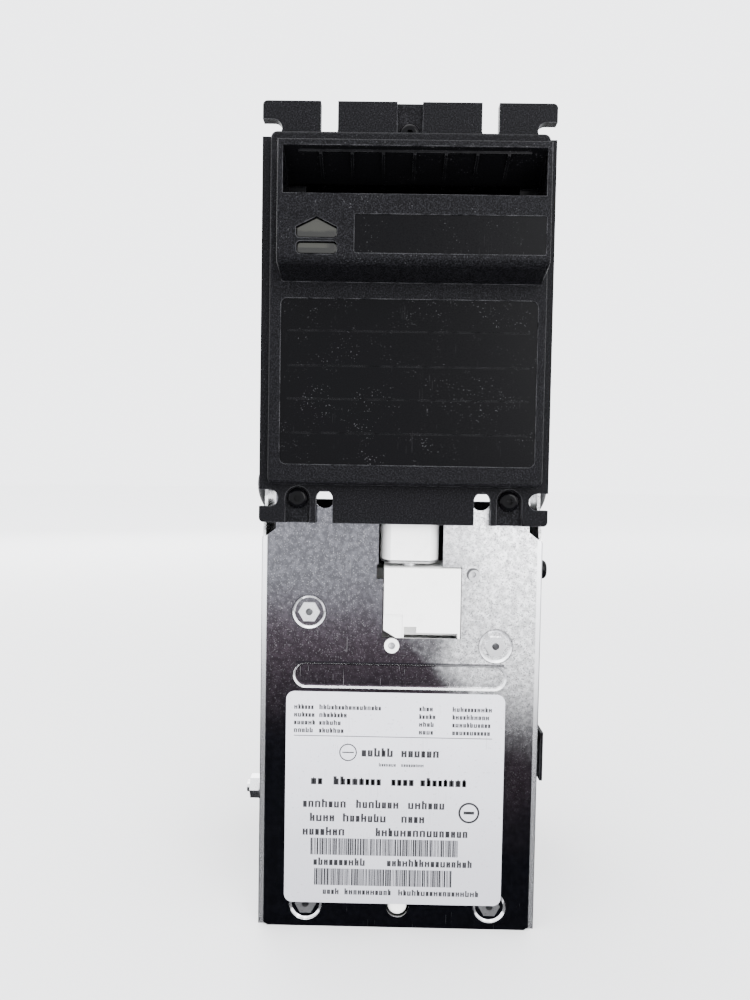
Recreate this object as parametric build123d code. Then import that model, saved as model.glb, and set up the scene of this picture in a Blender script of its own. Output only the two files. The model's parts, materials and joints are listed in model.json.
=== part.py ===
from build123d import *
import math
import os

# Bill validator with a stacker cassette, as an assembly of separate pieces.
# Millimetres. X is to the right, Y is to the back, Z is up.
# The origin is the centre of the four door studs, on the bezel flange's front face.

# ---------------------------------------------------------------- driving dimensions
# Bezel
FLANGE_W = 95.0
FLANGE_TOP = 68.5
FLANGE_BOTTOM = -67.8
FLANGE_T = 3.5
FLANGE_CORNER_R = 1.5
STUD_X = 26.0
STUD_Z = 59.75
NOTCH_X = 44.0
SLOT_R = 2.75
SCREW_X = 34.8
SCREW_TOP_Z = 58.5
SCREW_POCKET_R = 4.1
SCREW_POCKET_DEPTH = 1.5
BODY_X = (-44.2, 44.6)
BODY_Z = (-55.0, 57.0)
BODY_Y = -5.0
SNOUT_X = (-40.3, 42.7)
SNOUT_Y = -17.3
SNOUT_Z = (12.4, 49.3)
SNOUT_ROOT_Z = 9.6
MOUTH_X = (-38.5, 41.0)
MOUTH_Z = (33.0, 47.4)
WALL = 2.0
PATH_X = 1.2
PATH_HALF = 34.3
RIB_COUNT = 7
RIB_PITCH = 9.5
LIP_HALF = 35.3
LIP_DROP = 1.5
GROOVE_Z = (-5.8, -16.9, -27.5, -38.4)

# Steel chassis
SHEET = 1.0
BOX_HALF = 47.0
PLATE_Y = 3.5
PLATE_BACK = PLATE_Y + SHEET
BOX_TOP = -73.5
BOX_BOTTOM = -205.8
BEND_R = 1.6
TONGUE_HALF = 42.3
TONGUE_TOP = 12.0
SIDE_BACK = 33.5
HEAD_SIDE_BACK = 56.0
HEAD_SIDE_TOP = 12.0
TRAY_BACK = 78.0
DIMPLE_R = (5.6, 4.7)
DIMPLE_DEPTH = 0.8
STANDOFFS = ((-30.8, -98.0), (32.0, -108.6), (-30.8, -198.2), (31.8, -198.0))
RIB_Z = -119.4
RIB_SIZE = (72.0, 8.7)
RIB_DEPTH = 1.2
RIB_TAPER_DEG = 40.0
CORNER_RISE = 3.4
LABEL_X = (-38.1, 35.6)
LABEL_Z = (-197.5, -124.9)

# Stacker drive: the pusher's racks run on two pinion shafts that a belt keeps in step
SHAFT_Y = 18.5
SHAFT_Z = (-91.0, -178.0)
SHAFT_R = 2.0
RUN = 0.06
MODULE = 0.8
PINION_TEETH = 10
RACK_X = 24.0
RACK_WIDTH = 4.0
RACK_ADDENDUM = 0.45
WORM_X = 2.8
WORM_Y = 11.55
WHEEL_TEETH = 20
WHEEL_MODULE = 0.5
PUSHER_HALF = 26.8
PUSHER_Z = (-192.0, -86.0)
PUSHER_Y = (28.0, 30.0)
GEARBOX_X = (-5.8, 19.8)
GEARBOX_Z = (-106.0, -82.5)
GEARBOX_Y = (2.0, 27.0)
GEARBOX_SPLIT = 15.0
SYNC_X = (-44.4, -40.6)
SYNC_R = 5.2
BELT_T = 1.0

# Bill path, guide frame and cassette
GUIDE_Y = (27.5, 30.5)
CASSETTE_HALF = 45.6
CASSETTE_Y = (33.0, 92.0)
CASSETTE_Z = (-204.4, -69.0)
DOOR_HINGE = (-43.6, 93.9)
DOOR_HINGE_R = 1.8
DOOR_T = 2.2
PRESSURE_Y = (35.4, 37.4)
SPRING_Z = (-110.0, -162.0)
SPRING_R = 8.0
SPRING_BAR_Y = (88.0, 90.0)
LATCH_PIVOT = (48.9, 30.0)
LATCH_Z = (-157.5, -140.5)

# Head: fixed inner guide, hinged outer guide, belts and motor
BEND = (20.5, 27.5)
INNER_R = 10.0
OUTER_R = 12.0
HEAD_HALF = 41.0
HEAD_BOTTOM = -47.0
BELT_X = 20.0
BELT_W = 7.0
BELT_PROUD = 0.3
LOWER_SHAFT = (23.5, -36.0)
LOWER_BELT_R = 7.3
DRIVE_SHAFT_R = 2.5
GEAR_TEETH = 36
GEAR_ADDENDUM = 0.48
GEAR_X = (41.8, 45.2)
MOTOR_DROP = 3.5
IDLER_R = 4.0
BILL_GAP = 0.3
HEAD_HINGE = (50.0, -57.5)
LATCH_TOP_PIVOT = (26.0, 57.0)
OUTER_HALF = 40.8
STUD_NOTCH_X = ((-33.5, -21.5), (21.5, 36.0))
STUD_NOTCH_TOP = -54.6


# ---------------------------------------------------------------- helpers
def block(x0, x1, y0, y1, z0, z1):
    return Pos((x0 + x1) / 2, (y0 + y1) / 2, (z0 + z1) / 2) * Box(x1 - x0, y1 - y0, z1 - z0)


def rod_x(radius, x0, x1, y, z):
    return Pos((x0 + x1) / 2, y, z) * Rot(0, 90, 0) * Cylinder(radius, x1 - x0)


def rod_y(radius, y0, y1, x, z):
    return Pos(x, (y0 + y1) / 2, z) * Rot(90, 0, 0) * Cylinder(radius, y1 - y0)


def rod_z(radius, z0, z1, x, y):
    return Pos(x, y, (z0 + z1) / 2) * Cylinder(radius, z1 - z0)


def from_front(sketch, y0, y1):
    """Extrude a sketch drawn in X and Z from y0 back to y1."""
    return extrude(Plane.XZ.offset(-y1) * sketch, y1 - y0)


def from_side(sketch, x0, x1):
    """Extrude a sketch drawn in Y and Z from x0 to x1."""
    return extrude(Plane.YZ.offset(x0) * sketch, x1 - x0)


def outline(*points):
    return make_face(Polyline(*points, close=True))


def rounded(x_range, z_range, radius):
    width = x_range[1] - x_range[0]
    height = z_range[1] - z_range[0]
    return Pos(sum(x_range) / 2, sum(z_range) / 2) * RectangleRounded(width, height, radius)


def group(*parts):
    return Compound([solid for part in parts for solid in part.solids()])


def mirrored_x(part):
    return mirror(part, Plane.YZ)


def gear_face(teeth, module, addendum, dedendum, backlash, start_deg):
    """Involute gear outline about the origin, with one tooth centred at start_deg."""
    pressure = math.radians(20)
    pitch_r = teeth * module / 2
    base_r = pitch_r * math.cos(pressure)
    root_r = pitch_r - dedendum
    tip_r = pitch_r + addendum
    half_pitch_angle = (math.pi * module / 2 - backlash) / 2 / pitch_r
    involute_at_pitch = math.tan(pressure) - pressure
    steps = 6
    flank = []
    low_r = max(base_r, root_r)
    for step in range(steps + 1):
        radius = low_r + (tip_r - low_r) * step / steps
        angle = math.acos(min(1.0, base_r / radius))
        half = half_pitch_angle + involute_at_pitch - (math.tan(angle) - angle)
        flank.append((radius, half))
    if root_r < base_r:
        flank.insert(0, (root_r, flank[0][1]))
    points = []
    for tooth in range(teeth):
        centre = math.radians(start_deg) + 2 * math.pi * tooth / teeth
        right = [(radius, centre - half) for radius, half in flank]
        left = [(radius, centre + half) for radius, half in reversed(flank)]
        points += right + left
    return outline(*[(radius * math.cos(a), radius * math.sin(a)) for radius, a in points])


def gear_x(face, x0, x1, centre, bore_r):
    wheel = from_side(Pos(*centre) * face, x0, x1)
    return wheel - rod_x(bore_r, x0 - 1, x1 + 1, *centre)


def belt_loop(x0, x1, top, top_r, bottom, bottom_r, thickness):
    """Belt round two pulleys whose shafts lie along X; radii are to the belt's outside."""

    def band(inset):
        big = Pos(*top) * Circle(top_r - inset)
        small = Pos(*bottom) * Circle(bottom_r - inset)
        return make_hull((big + small).edges())

    return from_side(band(0), x0, x1) - from_side(band(thickness), x0 - 1, x1 + 1)


def button_screw(x, y, z, head_r, head_h, shank_r, length):
    """Socket button screw pointing +Y, with the underside of its head at y."""
    head = rod_y(head_r, y - head_h, y, x, z)
    head = fillet(head.faces().sort_by(Axis.Y)[0].edges(), head_h * 0.75)
    shank = rod_y(shank_r, y, y + length, x, z)
    socket = from_front(Pos(x, z) * RegularPolygon(1.15, 6), y - head_h - 1, y - head_h + 1.1)
    return head + shank - socket


# ---------------------------------------------------------------- bezel and its lamp
def stud_slots():
    cuts = Part()
    for side in (-1, 1):
        x = side * STUD_X
        for up in (-1, 1):
            z = up * STUD_Z
            end = up * 75.0
            low, high = sorted((z, end))
            cuts += rod_y(SLOT_R, -1, FLANGE_T + 1, x, z)
            cuts += block(x - SLOT_R, x + SLOT_R, -1, FLANGE_T + 1, low, high)
            notch = side * NOTCH_X
            left, right = sorted((notch, side * 55.0))
            cuts += rod_y(SLOT_R, -1, FLANGE_T + 1, notch, z)
            cuts += block(left, right, -1, FLANGE_T + 1, z - SLOT_R, z + SLOT_R)
    return cuts


def screw_pocket(x, z, up):
    end = 75.0 * up
    low, high = sorted((z, end))
    pocket = rod_y(SCREW_POCKET_R, -1, SCREW_POCKET_DEPTH, x, z)
    pocket += block(x - SCREW_POCKET_R, x + SCREW_POCKET_R, -1, SCREW_POCKET_DEPTH, low, high)
    return pocket + rod_y(1.6, 0, FLANGE_T + 1, x, z)


def snout_solid():
    side = outline(
        (BODY_Y + 1, SNOUT_Z[1]),
        (SNOUT_Y, SNOUT_Z[1]),
        (SNOUT_Y, SNOUT_Z[0]),
        (BODY_Y, SNOUT_ROOT_Z),
        (BODY_Y + 1, SNOUT_ROOT_Z),
    )
    snout = from_side(side, *SNOUT_X)
    front = snout.faces().sort_by(Axis.Y)[0]
    snout = fillet(front.edges().sort_by(Axis.Z)[0], 2.6)
    front = snout.faces().sort_by(Axis.Y)[0]
    return fillet(front.edges().filter_by(Axis.Z) + front.edges().sort_by(Axis.Z)[-1:], 0.8)


def mouth_cut():
    funnel = from_side(
        outline(
            (SNOUT_Y - 1, MOUTH_Z[0] - 0.3),
            (-6, 36.6),
            (-2, 36.6),
            (-2, 40.6),
            (-4, 40.6),
            (SNOUT_Y - 1, MOUTH_Z[1] + 0.4),
        ),
        *MOUTH_X,
    )
    channel = block(PATH_X - PATH_HALF, PATH_X + PATH_HALF, -3, FLANGE_T + 1, 36.6, 40.6)
    lip_z = MOUTH_Z[1] - LIP_DROP
    lip = block(PATH_X - LIP_HALF, PATH_X + LIP_HALF, SNOUT_Y + 1.5, -12, lip_z, MOUTH_Z[1] + 1)
    cut = funnel + channel - lip
    for index in range(RIB_COUNT):
        x = PATH_X + (index - (RIB_COUNT - 1) / 2) * RIB_PITCH
        rib = from_side(
            outline(
                (SNOUT_Y + 1.5, MOUTH_Z[1] + 1),
                (SNOUT_Y + 1.5, MOUTH_Z[1] - 2.2),
                (-2.0, 40.0),
                (-2.0, 41.5),
            ),
            x - 0.4,
            x + 0.4,
        )
        cut -= rib
    return cut


def arrow_outline(grow):
    """House-shaped arrow with a rounded base; grow widens it all round."""
    left, right, base, shoulder, apex = -34.4, -21.9, 19.7, 23.0, 26.1
    face = outline(
        (left, base),
        (right, base),
        (right, shoulder),
        ((left + right) / 2, apex),
        (left, shoulder),
    )
    face = fillet(face.vertices().group_by(Axis.Y)[0], 1.2)
    if grow == 0:
        return face
    return offset(face, grow)


def bar_outline(grow):
    face = rounded((-34.2, -21.9), (14.9, 18.7), 1.2)
    if grow == 0:
        return face
    return offset(face, grow)


def bezel():
    flange = from_front(
        rounded((-FLANGE_W / 2, FLANGE_W / 2), (FLANGE_BOTTOM, FLANGE_TOP), FLANGE_CORNER_R),
        0,
        FLANGE_T,
    )
    body = from_front(rounded(BODY_X, BODY_Z, 2.0), BODY_Y, 0.5)
    body = fillet(body.faces().sort_by(Axis.Y)[0].edges(), 1.3)
    shell = flange + body + snout_solid()
    shell -= from_front(rounded((-42.0, 42.4), (-53.0, 8.0), 1.0), BODY_Y + WALL, FLANGE_T + 1)
    shell -= block(-38.4, 40.8, SNOUT_Y + WALL, FLANGE_T + 1, 14.2, 30.8)
    shell -= block(-38.4, 40.8, BODY_Y + WALL, FLANGE_T + 1, 6.0, 30.8)
    shell -= mouth_cut()
    shell -= stud_slots()
    shell -= screw_pocket(-SCREW_X, -STUD_Z, -1)
    shell -= screw_pocket(SCREW_X, -STUD_Z, -1)
    shell -= screw_pocket(0, SCREW_TOP_Z, 1)
    shell -= from_front(arrow_outline(0), SNOUT_Y - 1, SNOUT_Y + WALL + 1)
    shell -= from_front(bar_outline(0), SNOUT_Y - 1, SNOUT_Y + WALL + 1)
    shell -= from_front(rounded((-16.7, 41.2), (15.4, 27.0), 0.6), SNOUT_Y - 1, SNOUT_Y + 0.25)
    shell -= from_front(rounded((-40.3, 41.7), (-48.5, 4.4), 2.0), BODY_Y - 1, BODY_Y + 0.3)
    for z in GROOVE_Z:
        shell -= block(-38.0, 39.4, BODY_Y, BODY_Y + 0.45, z - 0.15, z + 0.15)
    for z in (17.5, 28.5):
        shell += rod_y(1.4, SNOUT_Y + WALL - 0.5, -9.0, -17.5, z)
    return shell


def light_pipe():
    gap = -0.45
    base = block(-36.6, -20.2, SNOUT_Y + WALL, SNOUT_Y + WALL + 1.4, 14.4, 28.0)
    arrow = from_front(arrow_outline(gap), SNOUT_Y + 0.7, SNOUT_Y + WALL + 0.1)
    bar = from_front(bar_outline(gap), SNOUT_Y + 0.7, SNOUT_Y + WALL + 0.1)
    return base + arrow + bar


def led_board():
    board = block(-37.4, -16.0, -9.0, -7.4, 14.8, 30.4)
    for z in (16.8, 22.4):
        lamp = rod_y(1.5, -12.0, -9.0, -28.1, z)
        board += fillet(lamp.faces().sort_by(Axis.Y)[0].edges(), 1.2)
    return board


def bezel_screws():
    spots = ((-SCREW_X, -STUD_Z), (SCREW_X, -STUD_Z), (0, SCREW_TOP_Z))
    return group(*[button_screw(x, SCREW_POCKET_DEPTH, z, 3.4, 1.9, 1.25, 7.5) for x, z in spots])


# ---------------------------------------------------------------- steel chassis and what is on it
def chassis_walls():
    wall = outline(
        (PLATE_Y, BOX_BOTTOM),
        (TRAY_BACK, BOX_BOTTOM),
        (TRAY_BACK, BOX_BOTTOM + 12),
        (SIDE_BACK + 4, BOX_BOTTOM + 12),
        (SIDE_BACK, BOX_BOTTOM + 16),
        (SIDE_BACK, -66.0),
        (HEAD_SIDE_BACK - 4, -66.0),
        (HEAD_SIDE_BACK, -62.0),
        (HEAD_SIDE_BACK, HEAD_SIDE_TOP - 8),
        (HEAD_SIDE_BACK - 8, HEAD_SIDE_TOP),
        (18.0, HEAD_SIDE_TOP),
        (10.0, HEAD_SIDE_TOP - 10),
        (10.0, -62.0),
        (PLATE_Y + BEND_R, BOX_TOP),
        (PLATE_Y, BOX_TOP),
    )
    left = from_side(wall, -BOX_HALF, -BOX_HALF + SHEET)
    return left + from_side(wall, BOX_HALF - SHEET, BOX_HALF)


def chassis_plate():
    clip = 3.0
    half = BOX_HALF - 0.2
    lower = outline(
        (-half + clip, BOX_BOTTOM),
        (half - clip, BOX_BOTTOM),
        (half, BOX_BOTTOM + clip),
        (half, BOX_TOP),
        (TONGUE_HALF, BOX_TOP + CORNER_RISE),
        (TONGUE_HALF, TONGUE_TOP),
        (-TONGUE_HALF, TONGUE_TOP),
        (-TONGUE_HALF, BOX_TOP + CORNER_RISE),
        (-half, BOX_TOP),
        (-half, BOX_BOTTOM + clip),
    )
    plate = from_front(lower, PLATE_Y, PLATE_BACK)
    for x, z in STANDOFFS:
        plate += rod_y(DIMPLE_R[0] + SHEET, PLATE_BACK, PLATE_BACK + DIMPLE_DEPTH, x, z)
    width, height = RIB_SIZE
    back = SlotOverall(width + 2 * SHEET, height + 2 * SHEET)
    plate += from_front(Pos(0, RIB_Z) * back, PLATE_BACK, PLATE_BACK + RIB_DEPTH)
    return plate - pressed_rib()


def pressed_rib():
    """Obround recess pressed into the plate, with sloped walls."""
    width, height = RIB_SIZE
    front = Plane((0, PLATE_Y, 0), x_dir=(1, 0, 0), z_dir=(0, 1, 0))
    face = front * Pos(0, -RIB_Z) * SlotOverall(width, height)
    return extrude(face, RIB_DEPTH, dir=(0, 1, 0), taper=RIB_TAPER_DEG)


def dimple(x, z):
    """Shallow cone pressed round a clinched standoff."""
    wide, narrow = DIMPLE_R
    cone = Rot(-90, 0, 0) * Cone(wide, narrow, DIMPLE_DEPTH)
    return Pos(x, PLATE_Y + DIMPLE_DEPTH / 2, z) * cone


def chassis_cutouts():
    cuts = block(-7.8, 13.8, PLATE_Y - 1, PLATE_BACK + 1, -84.0, TONGUE_TOP - 14)
    cuts += block(-8.4, -5.0, PLATE_Y - 1, PLATE_BACK + 1, -86.5, -81.5)
    cuts += block(-6.2, 20.2, PLATE_Y - 1, PLATE_BACK + 1, -106.3, -82.1)
    cuts += rod_y(3.8, PLATE_Y - 1, PLATE_BACK + 2, 0.5, -198.4)
    for side in (-1, 1):
        cuts += rod_y(3.3, PLATE_Y - 1, PLATE_BACK + 1, side * STUD_X, -STUD_Z)
        cuts += rod_y(1.3, PLATE_Y - 1, PLATE_BACK + 1, side * SCREW_X, -STUD_Z)
    for x, z in STANDOFFS:
        cuts += dimple(x, z)
        cuts += rod_y(2.4, PLATE_Y - 1, PLATE_BACK + 2, x, z)
    for x, z in head_screw_spots():
        cuts += rod_y(1.3, PLATE_Y - 1, PLATE_BACK + 1, x, z)
    cuts += rod_y(1.9, PLATE_Y - 1, PLATE_BACK + 1, 23.9, -84.4)
    cuts += rod_y(1.9, PLATE_Y - 1, PLATE_BACK + 1, -2.9, -108.8)
    for z in SHAFT_Z:
        cuts += rod_x(3.5, -BOX_HALF - 1, BOX_HALF + 1, SHAFT_Y, z)
    cuts += rod_x(1.5, -BOX_HALF - 1, BOX_HALF + 1, *HEAD_HINGE)
    cuts += rod_x(2.0, -BOX_HALF - 1, -BOX_HALF + 2, 11.5, -161.0)
    cuts += rod_x(1.5, BOX_HALF - 2, BOX_HALF + 1, 9.5, -83.0)
    for side in (-1, 1):
        cuts += rod_x(2.5, side * BOX_HALF - 1.5, side * BOX_HALF + 1.5, 20.0, -55.5)
    return cuts


def head_screw_spots():
    return [(side * 37.5, z) for side in (-1, 1) for z in (-34.0, 4.0)]


def latch_ears():
    ears = Part()
    for z0 in (LATCH_Z[0] - 1.6, LATCH_Z[1] + 0.6):
        ear = block(BOX_HALF - 0.5, LATCH_PIVOT[0] + 1.4, 27.0, 33.0, z0, z0 + SHEET)
        ears += ear - rod_z(0.8, z0 - 1, z0 + 2, *LATCH_PIVOT)
    return ears


def chassis():
    inner = BOX_HALF - SHEET
    tray = block(-inner, inner, PLATE_Y, TRAY_BACK, BOX_BOTTOM, BOX_BOTTOM + SHEET)
    clip = outline(
        (-50, BOX_BOTTOM - 1),
        (-43.8, BOX_BOTTOM - 1),
        (-43.8, BOX_BOTTOM),
        (-BOX_HALF, -202.6),
        (-50, -202.6),
    )
    shell = chassis_walls() + chassis_plate() + tray
    corners = shell.edges().filter_by(Axis.Z).filter_by_position(Axis.Y, PLATE_Y - 0.01, PLATE_Y + 0.01)
    outer = [edge for edge in corners if abs(edge.center().X) > BOX_HALF - 0.05]
    shell = fillet(outer, SHEET * 0.9)
    for corner in (clip, mirror(clip, Plane.YZ)):
        shell -= from_front(corner, PLATE_Y - 1, PLATE_BACK)
    return shell - chassis_cutouts() + latch_ears()


def clinch_standoffs():
    barrels = []
    for x, z in STANDOFFS:
        head = from_front(Pos(x, z) * RegularPolygon(3.64, 6), PLATE_Y + 0.1, PLATE_Y + 0.8)
        barrel = rod_y(2.4, PLATE_Y + 0.7, PLATE_BACK + 1.0, x, z)
        barrel += rod_y(3.1, PLATE_BACK + 0.8, GUIDE_Y[0], x, z)
        barrels.append(head + barrel - rod_y(1.2, PLATE_Y - 1, GUIDE_Y[0] + 1, x, z))
    return group(*barrels)


def label():
    return from_front(rounded(LABEL_X, LABEL_Z, 2.8), PLATE_Y - 0.15, PLATE_Y)


def locating_peg():
    peg = rod_y(3.3, PLATE_Y + 0.1, GUIDE_Y[0], 0.5, -198.4)
    return fillet(peg.faces().sort_by(Axis.Y)[0].edges(), 1.6)


def ground_stud():
    inner = -BOX_HALF + SHEET
    return rod_x(2.0, -52.2, inner, 11.5, -161.0) + rod_x(3.2, inner, -44.6, 11.5, -161.0)


def ground_washer():
    return rod_x(4.3, -47.8, -BOX_HALF, 11.5, -161.0) - rod_x(2.15, -49, -45, 11.5, -161.0)


def ground_nut():
    nut = from_side(Pos(11.5, -161.0) * RegularPolygon(4.04, 6), -51.0, -47.8)
    return nut - rod_x(2.0, -52, -46, 11.5, -161.0)


def side_screw():
    head = rod_x(3.25, BOX_HALF, BOX_HALF + 2.4, 9.5, -83.0)
    head = fillet(head.faces().sort_by(Axis.X)[-1].edges(), 1.5)
    socket = from_side(Pos(9.5, -83.0) * RegularPolygon(1.15, 6), BOX_HALF + 1.2, BOX_HALF + 4)
    return head + rod_x(1.5, 41.0, BOX_HALF, 9.5, -83.0) - socket


def side_caps():
    """Domed plastic caps snapped into the side walls."""
    radius, height = 10.0, 4.0
    ball_r = (radius ** 2 + height ** 2) / (2 * height)
    middle = (ball_r * math.cos(0.35) - ball_r + height, ball_r * math.sin(0.35))
    edge = ThreePointArc((0, radius), middle, (height, 0))
    profile = make_face(edge + Polyline((height, 0), (0, 0), (0, radius)))
    dome = Pos(BOX_HALF, 20.0, -55.5) * revolve(profile, Axis.X)
    cap = dome + rod_x(2.4, 45.0, BOX_HALF + 0.5, 20.0, -55.5)
    return group(cap, mirrored_x(cap))


# ---------------------------------------------------------------- stacker gearbox, shafts and pusher


def gearbox_outline():
    return outline(
        (GEARBOX_X[0], -103.4),
        (-1.6, GEARBOX_Z[0]),
        (GEARBOX_X[1], GEARBOX_Z[0]),
        (GEARBOX_X[1], GEARBOX_Z[1]),
        (GEARBOX_X[0], GEARBOX_Z[1]),
    )


def gearbox_cavity():
    cavity = rod_x(6.4, WORM_X - 3.0, WORM_X + 3.0, SHAFT_Y, SHAFT_Z[0])
    cavity += rod_z(2.6, -100.0, GEARBOX_Z[1] + 1, WORM_X, WORM_Y)
    cavity += rod_x(SHAFT_R + 0.3, GEARBOX_X[0] - 1, GEARBOX_X[1] + 1, SHAFT_Y, SHAFT_Z[0])
    return cavity


def gearbox_housing():
    box = from_front(gearbox_outline(), GEARBOX_Y[0], GEARBOX_SPLIT)
    box = fillet(box.faces().sort_by(Axis.Y)[0].edges(), 0.5)
    box -= block(1.0, 19.0, GEARBOX_Y[0] - 1, 8.0, -107.0, -104.1)
    box -= block(1.0, 5.2, GEARBOX_Y[0] - 1, 8.0, -104.5, -102.1)
    box -= block(-7.0, 0.6, GEARBOX_Y[0] - 1, GEARBOX_Y[0] + 0.6, -107.0, -98.0)
    return box - gearbox_cavity()


def gearbox_cover():
    box = from_front(gearbox_outline(), GEARBOX_SPLIT, GEARBOX_Y[1])
    box += block(WORM_X - 7, WORM_X + 7, 19.3, 21.3, GEARBOX_Z[1], -56.0)
    return box - gearbox_cavity()


def gearbox_fixings():
    """Hollow rivet at the upper right, hollow snap peg at the lower left."""
    rivet = rod_y(2.2, PLATE_Y - 0.5, PLATE_Y, 23.9, -84.4) + rod_y(1.9, PLATE_Y, 6.4, 23.9, -84.4)
    rivet -= rod_y(1.0, PLATE_Y - 1, PLATE_Y + 2, 23.9, -84.4)
    peg = rod_y(2.5, PLATE_Y - 0.7, PLATE_Y, -2.9, -108.8) + rod_y(1.9, PLATE_Y, 7.0, -2.9, -108.8)
    peg -= rod_y(1.1, PLATE_Y - 1, PLATE_Y + 2, -2.9, -108.8)
    return group(rivet, peg)


def flat_can(length_z, x, y, half_width, half_depth):
    section = Circle(half_width) & Rectangle(4 * half_width, 2 * half_depth)
    return extrude(Pos(x, y, 0) * section, length_z)


def stacker_motor():
    can = Pos(0, 0, -81.3) * flat_can(31.3, WORM_X, WORM_Y, 10.0, 7.55)
    can = fillet(can.faces().sort_by(Axis.Z)[0].edges(), 1.2)
    can += rod_z(3.0, GEARBOX_Z[1], -81.2, WORM_X, WORM_Y) - rod_z(1.1, -84, -80, WORM_X, WORM_Y)
    can += Pos(0, 0, -50.0) * flat_can(1.4, WORM_X, WORM_Y, 9.2, 6.9)
    return can - rod_z(1.1, -84, -78.5, WORM_X, WORM_Y)


def stacker_worm():
    """Motor shaft with the worm's core, which is drawn at its root diameter."""
    return rod_z(1.0, -99.0, -79.0, WORM_X, WORM_Y) + rod_z(1.35, -98.0, -84.0, WORM_X, WORM_Y)


def pinion_shaft(index):
    return rod_x(SHAFT_R, -46.8, 46.8, SHAFT_Y, SHAFT_Z[index])


def rack_pinions(index):
    """Two pinions with a tooth space straight down, over the racks."""
    down = -90.0 + 180.0 / PINION_TEETH
    face = gear_face(PINION_TEETH, MODULE, 0.8, 1.05, 0.1, down)
    centre = (SHAFT_Y, SHAFT_Z[index])
    half = RACK_WIDTH / 2
    pinions = []
    for x in (-RACK_X, RACK_X):
        pinions.append(gear_x(face, x - half, x + half, centre, SHAFT_R))
    return group(*pinions)


def worm_wheel():
    face = gear_face(WHEEL_TEETH, WHEEL_MODULE, 0.4, 0.6, 0.1, 0.0)
    return gear_x(face, WORM_X - 2, WORM_X + 2, (SHAFT_Y, SHAFT_Z[0]), SHAFT_R)


def sync_pulley(index):
    centre = (SHAFT_Y, SHAFT_Z[index])
    disc = rod_x(SYNC_R - BELT_T - 0.05, SYNC_X[0], SYNC_X[1], *centre)
    return disc - rod_x(SHAFT_R, -46, -39, *centre)


def sync_belt():
    top = (SHAFT_Y, SHAFT_Z[0])
    bottom = (SHAFT_Y, SHAFT_Z[1])
    return belt_loop(SYNC_X[0] + 0.4, SYNC_X[1] - 0.4, top, SYNC_R, bottom, SYNC_R, BELT_T)


def shaft_bushings():
    bushings = []
    for z in SHAFT_Z:
        bush = rod_x(3.5, BOX_HALF - SHEET, BOX_HALF, SHAFT_Y, z)
        bush += rod_x(4.6, 45.0, BOX_HALF - SHEET, SHAFT_Y, z)
        bush -= rod_x(SHAFT_R + RUN, 44, 48, SHAFT_Y, z)
        bushings += [bush, mirrored_x(bush)]
    return group(*bushings)


def rack(x, shaft_z):
    """Toothed bar under a pinion, with one tooth centred below the shaft."""
    pitch = math.pi * MODULE
    pitch_z = shaft_z - MODULE * PINION_TEETH / 2
    root_z = pitch_z - 1.0
    front, back = 5.5, PUSHER_Y[0]
    slope = math.tan(math.radians(20))
    half = (pitch / 2 - 0.1) / 2
    tip = half - RACK_ADDENDUM * slope
    foot = half + 1.0 * slope
    points = [(front, root_z - 3.5), (back, root_z - 3.5), (back, root_z)]
    count = 5
    for index in range(count, -count - 1, -1):
        y = SHAFT_Y + index * pitch
        if front + foot < y < back - foot:
            top = pitch_z + RACK_ADDENDUM
            points += [(y + foot, root_z), (y + tip, top), (y - tip, top), (y - foot, root_z)]
    points.append((front, root_z))
    return from_side(outline(*points), x - RACK_WIDTH / 2, x + RACK_WIDTH / 2)


def pusher_racks():
    return group(*[rack(x, z) for z in SHAFT_Z for x in (-RACK_X, RACK_X)])


def pusher_plate():
    plate = from_front(rounded((-PUSHER_HALF, PUSHER_HALF), PUSHER_Z, 3.0), *PUSHER_Y)
    for x in (-12.0, 12.0):
        plate += block(x - 1, x + 1, PUSHER_Y[0] - 0.6, PUSHER_Y[0], -176.0, -108.0)
    return plate


# ---------------------------------------------------------------- guide frame and cassette
def bill_guide_frame():
    frame = from_front(rounded((-45.4, 45.4), (-203.8, -61.0), 2.0), *GUIDE_Y)
    frame -= from_front(rounded((-28.2, 28.2), (-193.6, -84.4), 3.0), GUIDE_Y[0] - 1, GUIDE_Y[1] + 1)
    for x, z in STANDOFFS:
        frame -= rod_y(1.7, GUIDE_Y[0] - 1, GUIDE_Y[1] + 1, x, z)
        frame -= rod_y(3.0, GUIDE_Y[1] - 1.4, GUIDE_Y[1] + 1, x, z)
    for x in (-40.0, 40.0):
        frame += block(x - 1.5, x + 1.5, GUIDE_Y[1], 32.4, -200.0, -68.0)
    return frame


def guide_screws():
    screws = []
    for x, z in STANDOFFS:
        seat = GUIDE_Y[1] - 1.4
        screw = rod_y(1.2, 19.0, seat, x, z) + rod_y(2.7, seat, GUIDE_Y[1] - 0.1, x, z)
        screws.append(screw - rod_y(1.0, GUIDE_Y[1] - 0.8, GUIDE_Y[1] + 1, x, z))
    return group(*screws)


def cassette_knuckles(first):
    knuckles = Part()
    length = 14.0
    for z0 in (-190.0, -100.0):
        low = z0 if first else z0 + length + 0.3
        knuckles += rod_z(DOOR_HINGE_R, low, low + length, *DOOR_HINGE)
    return knuckles


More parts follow.
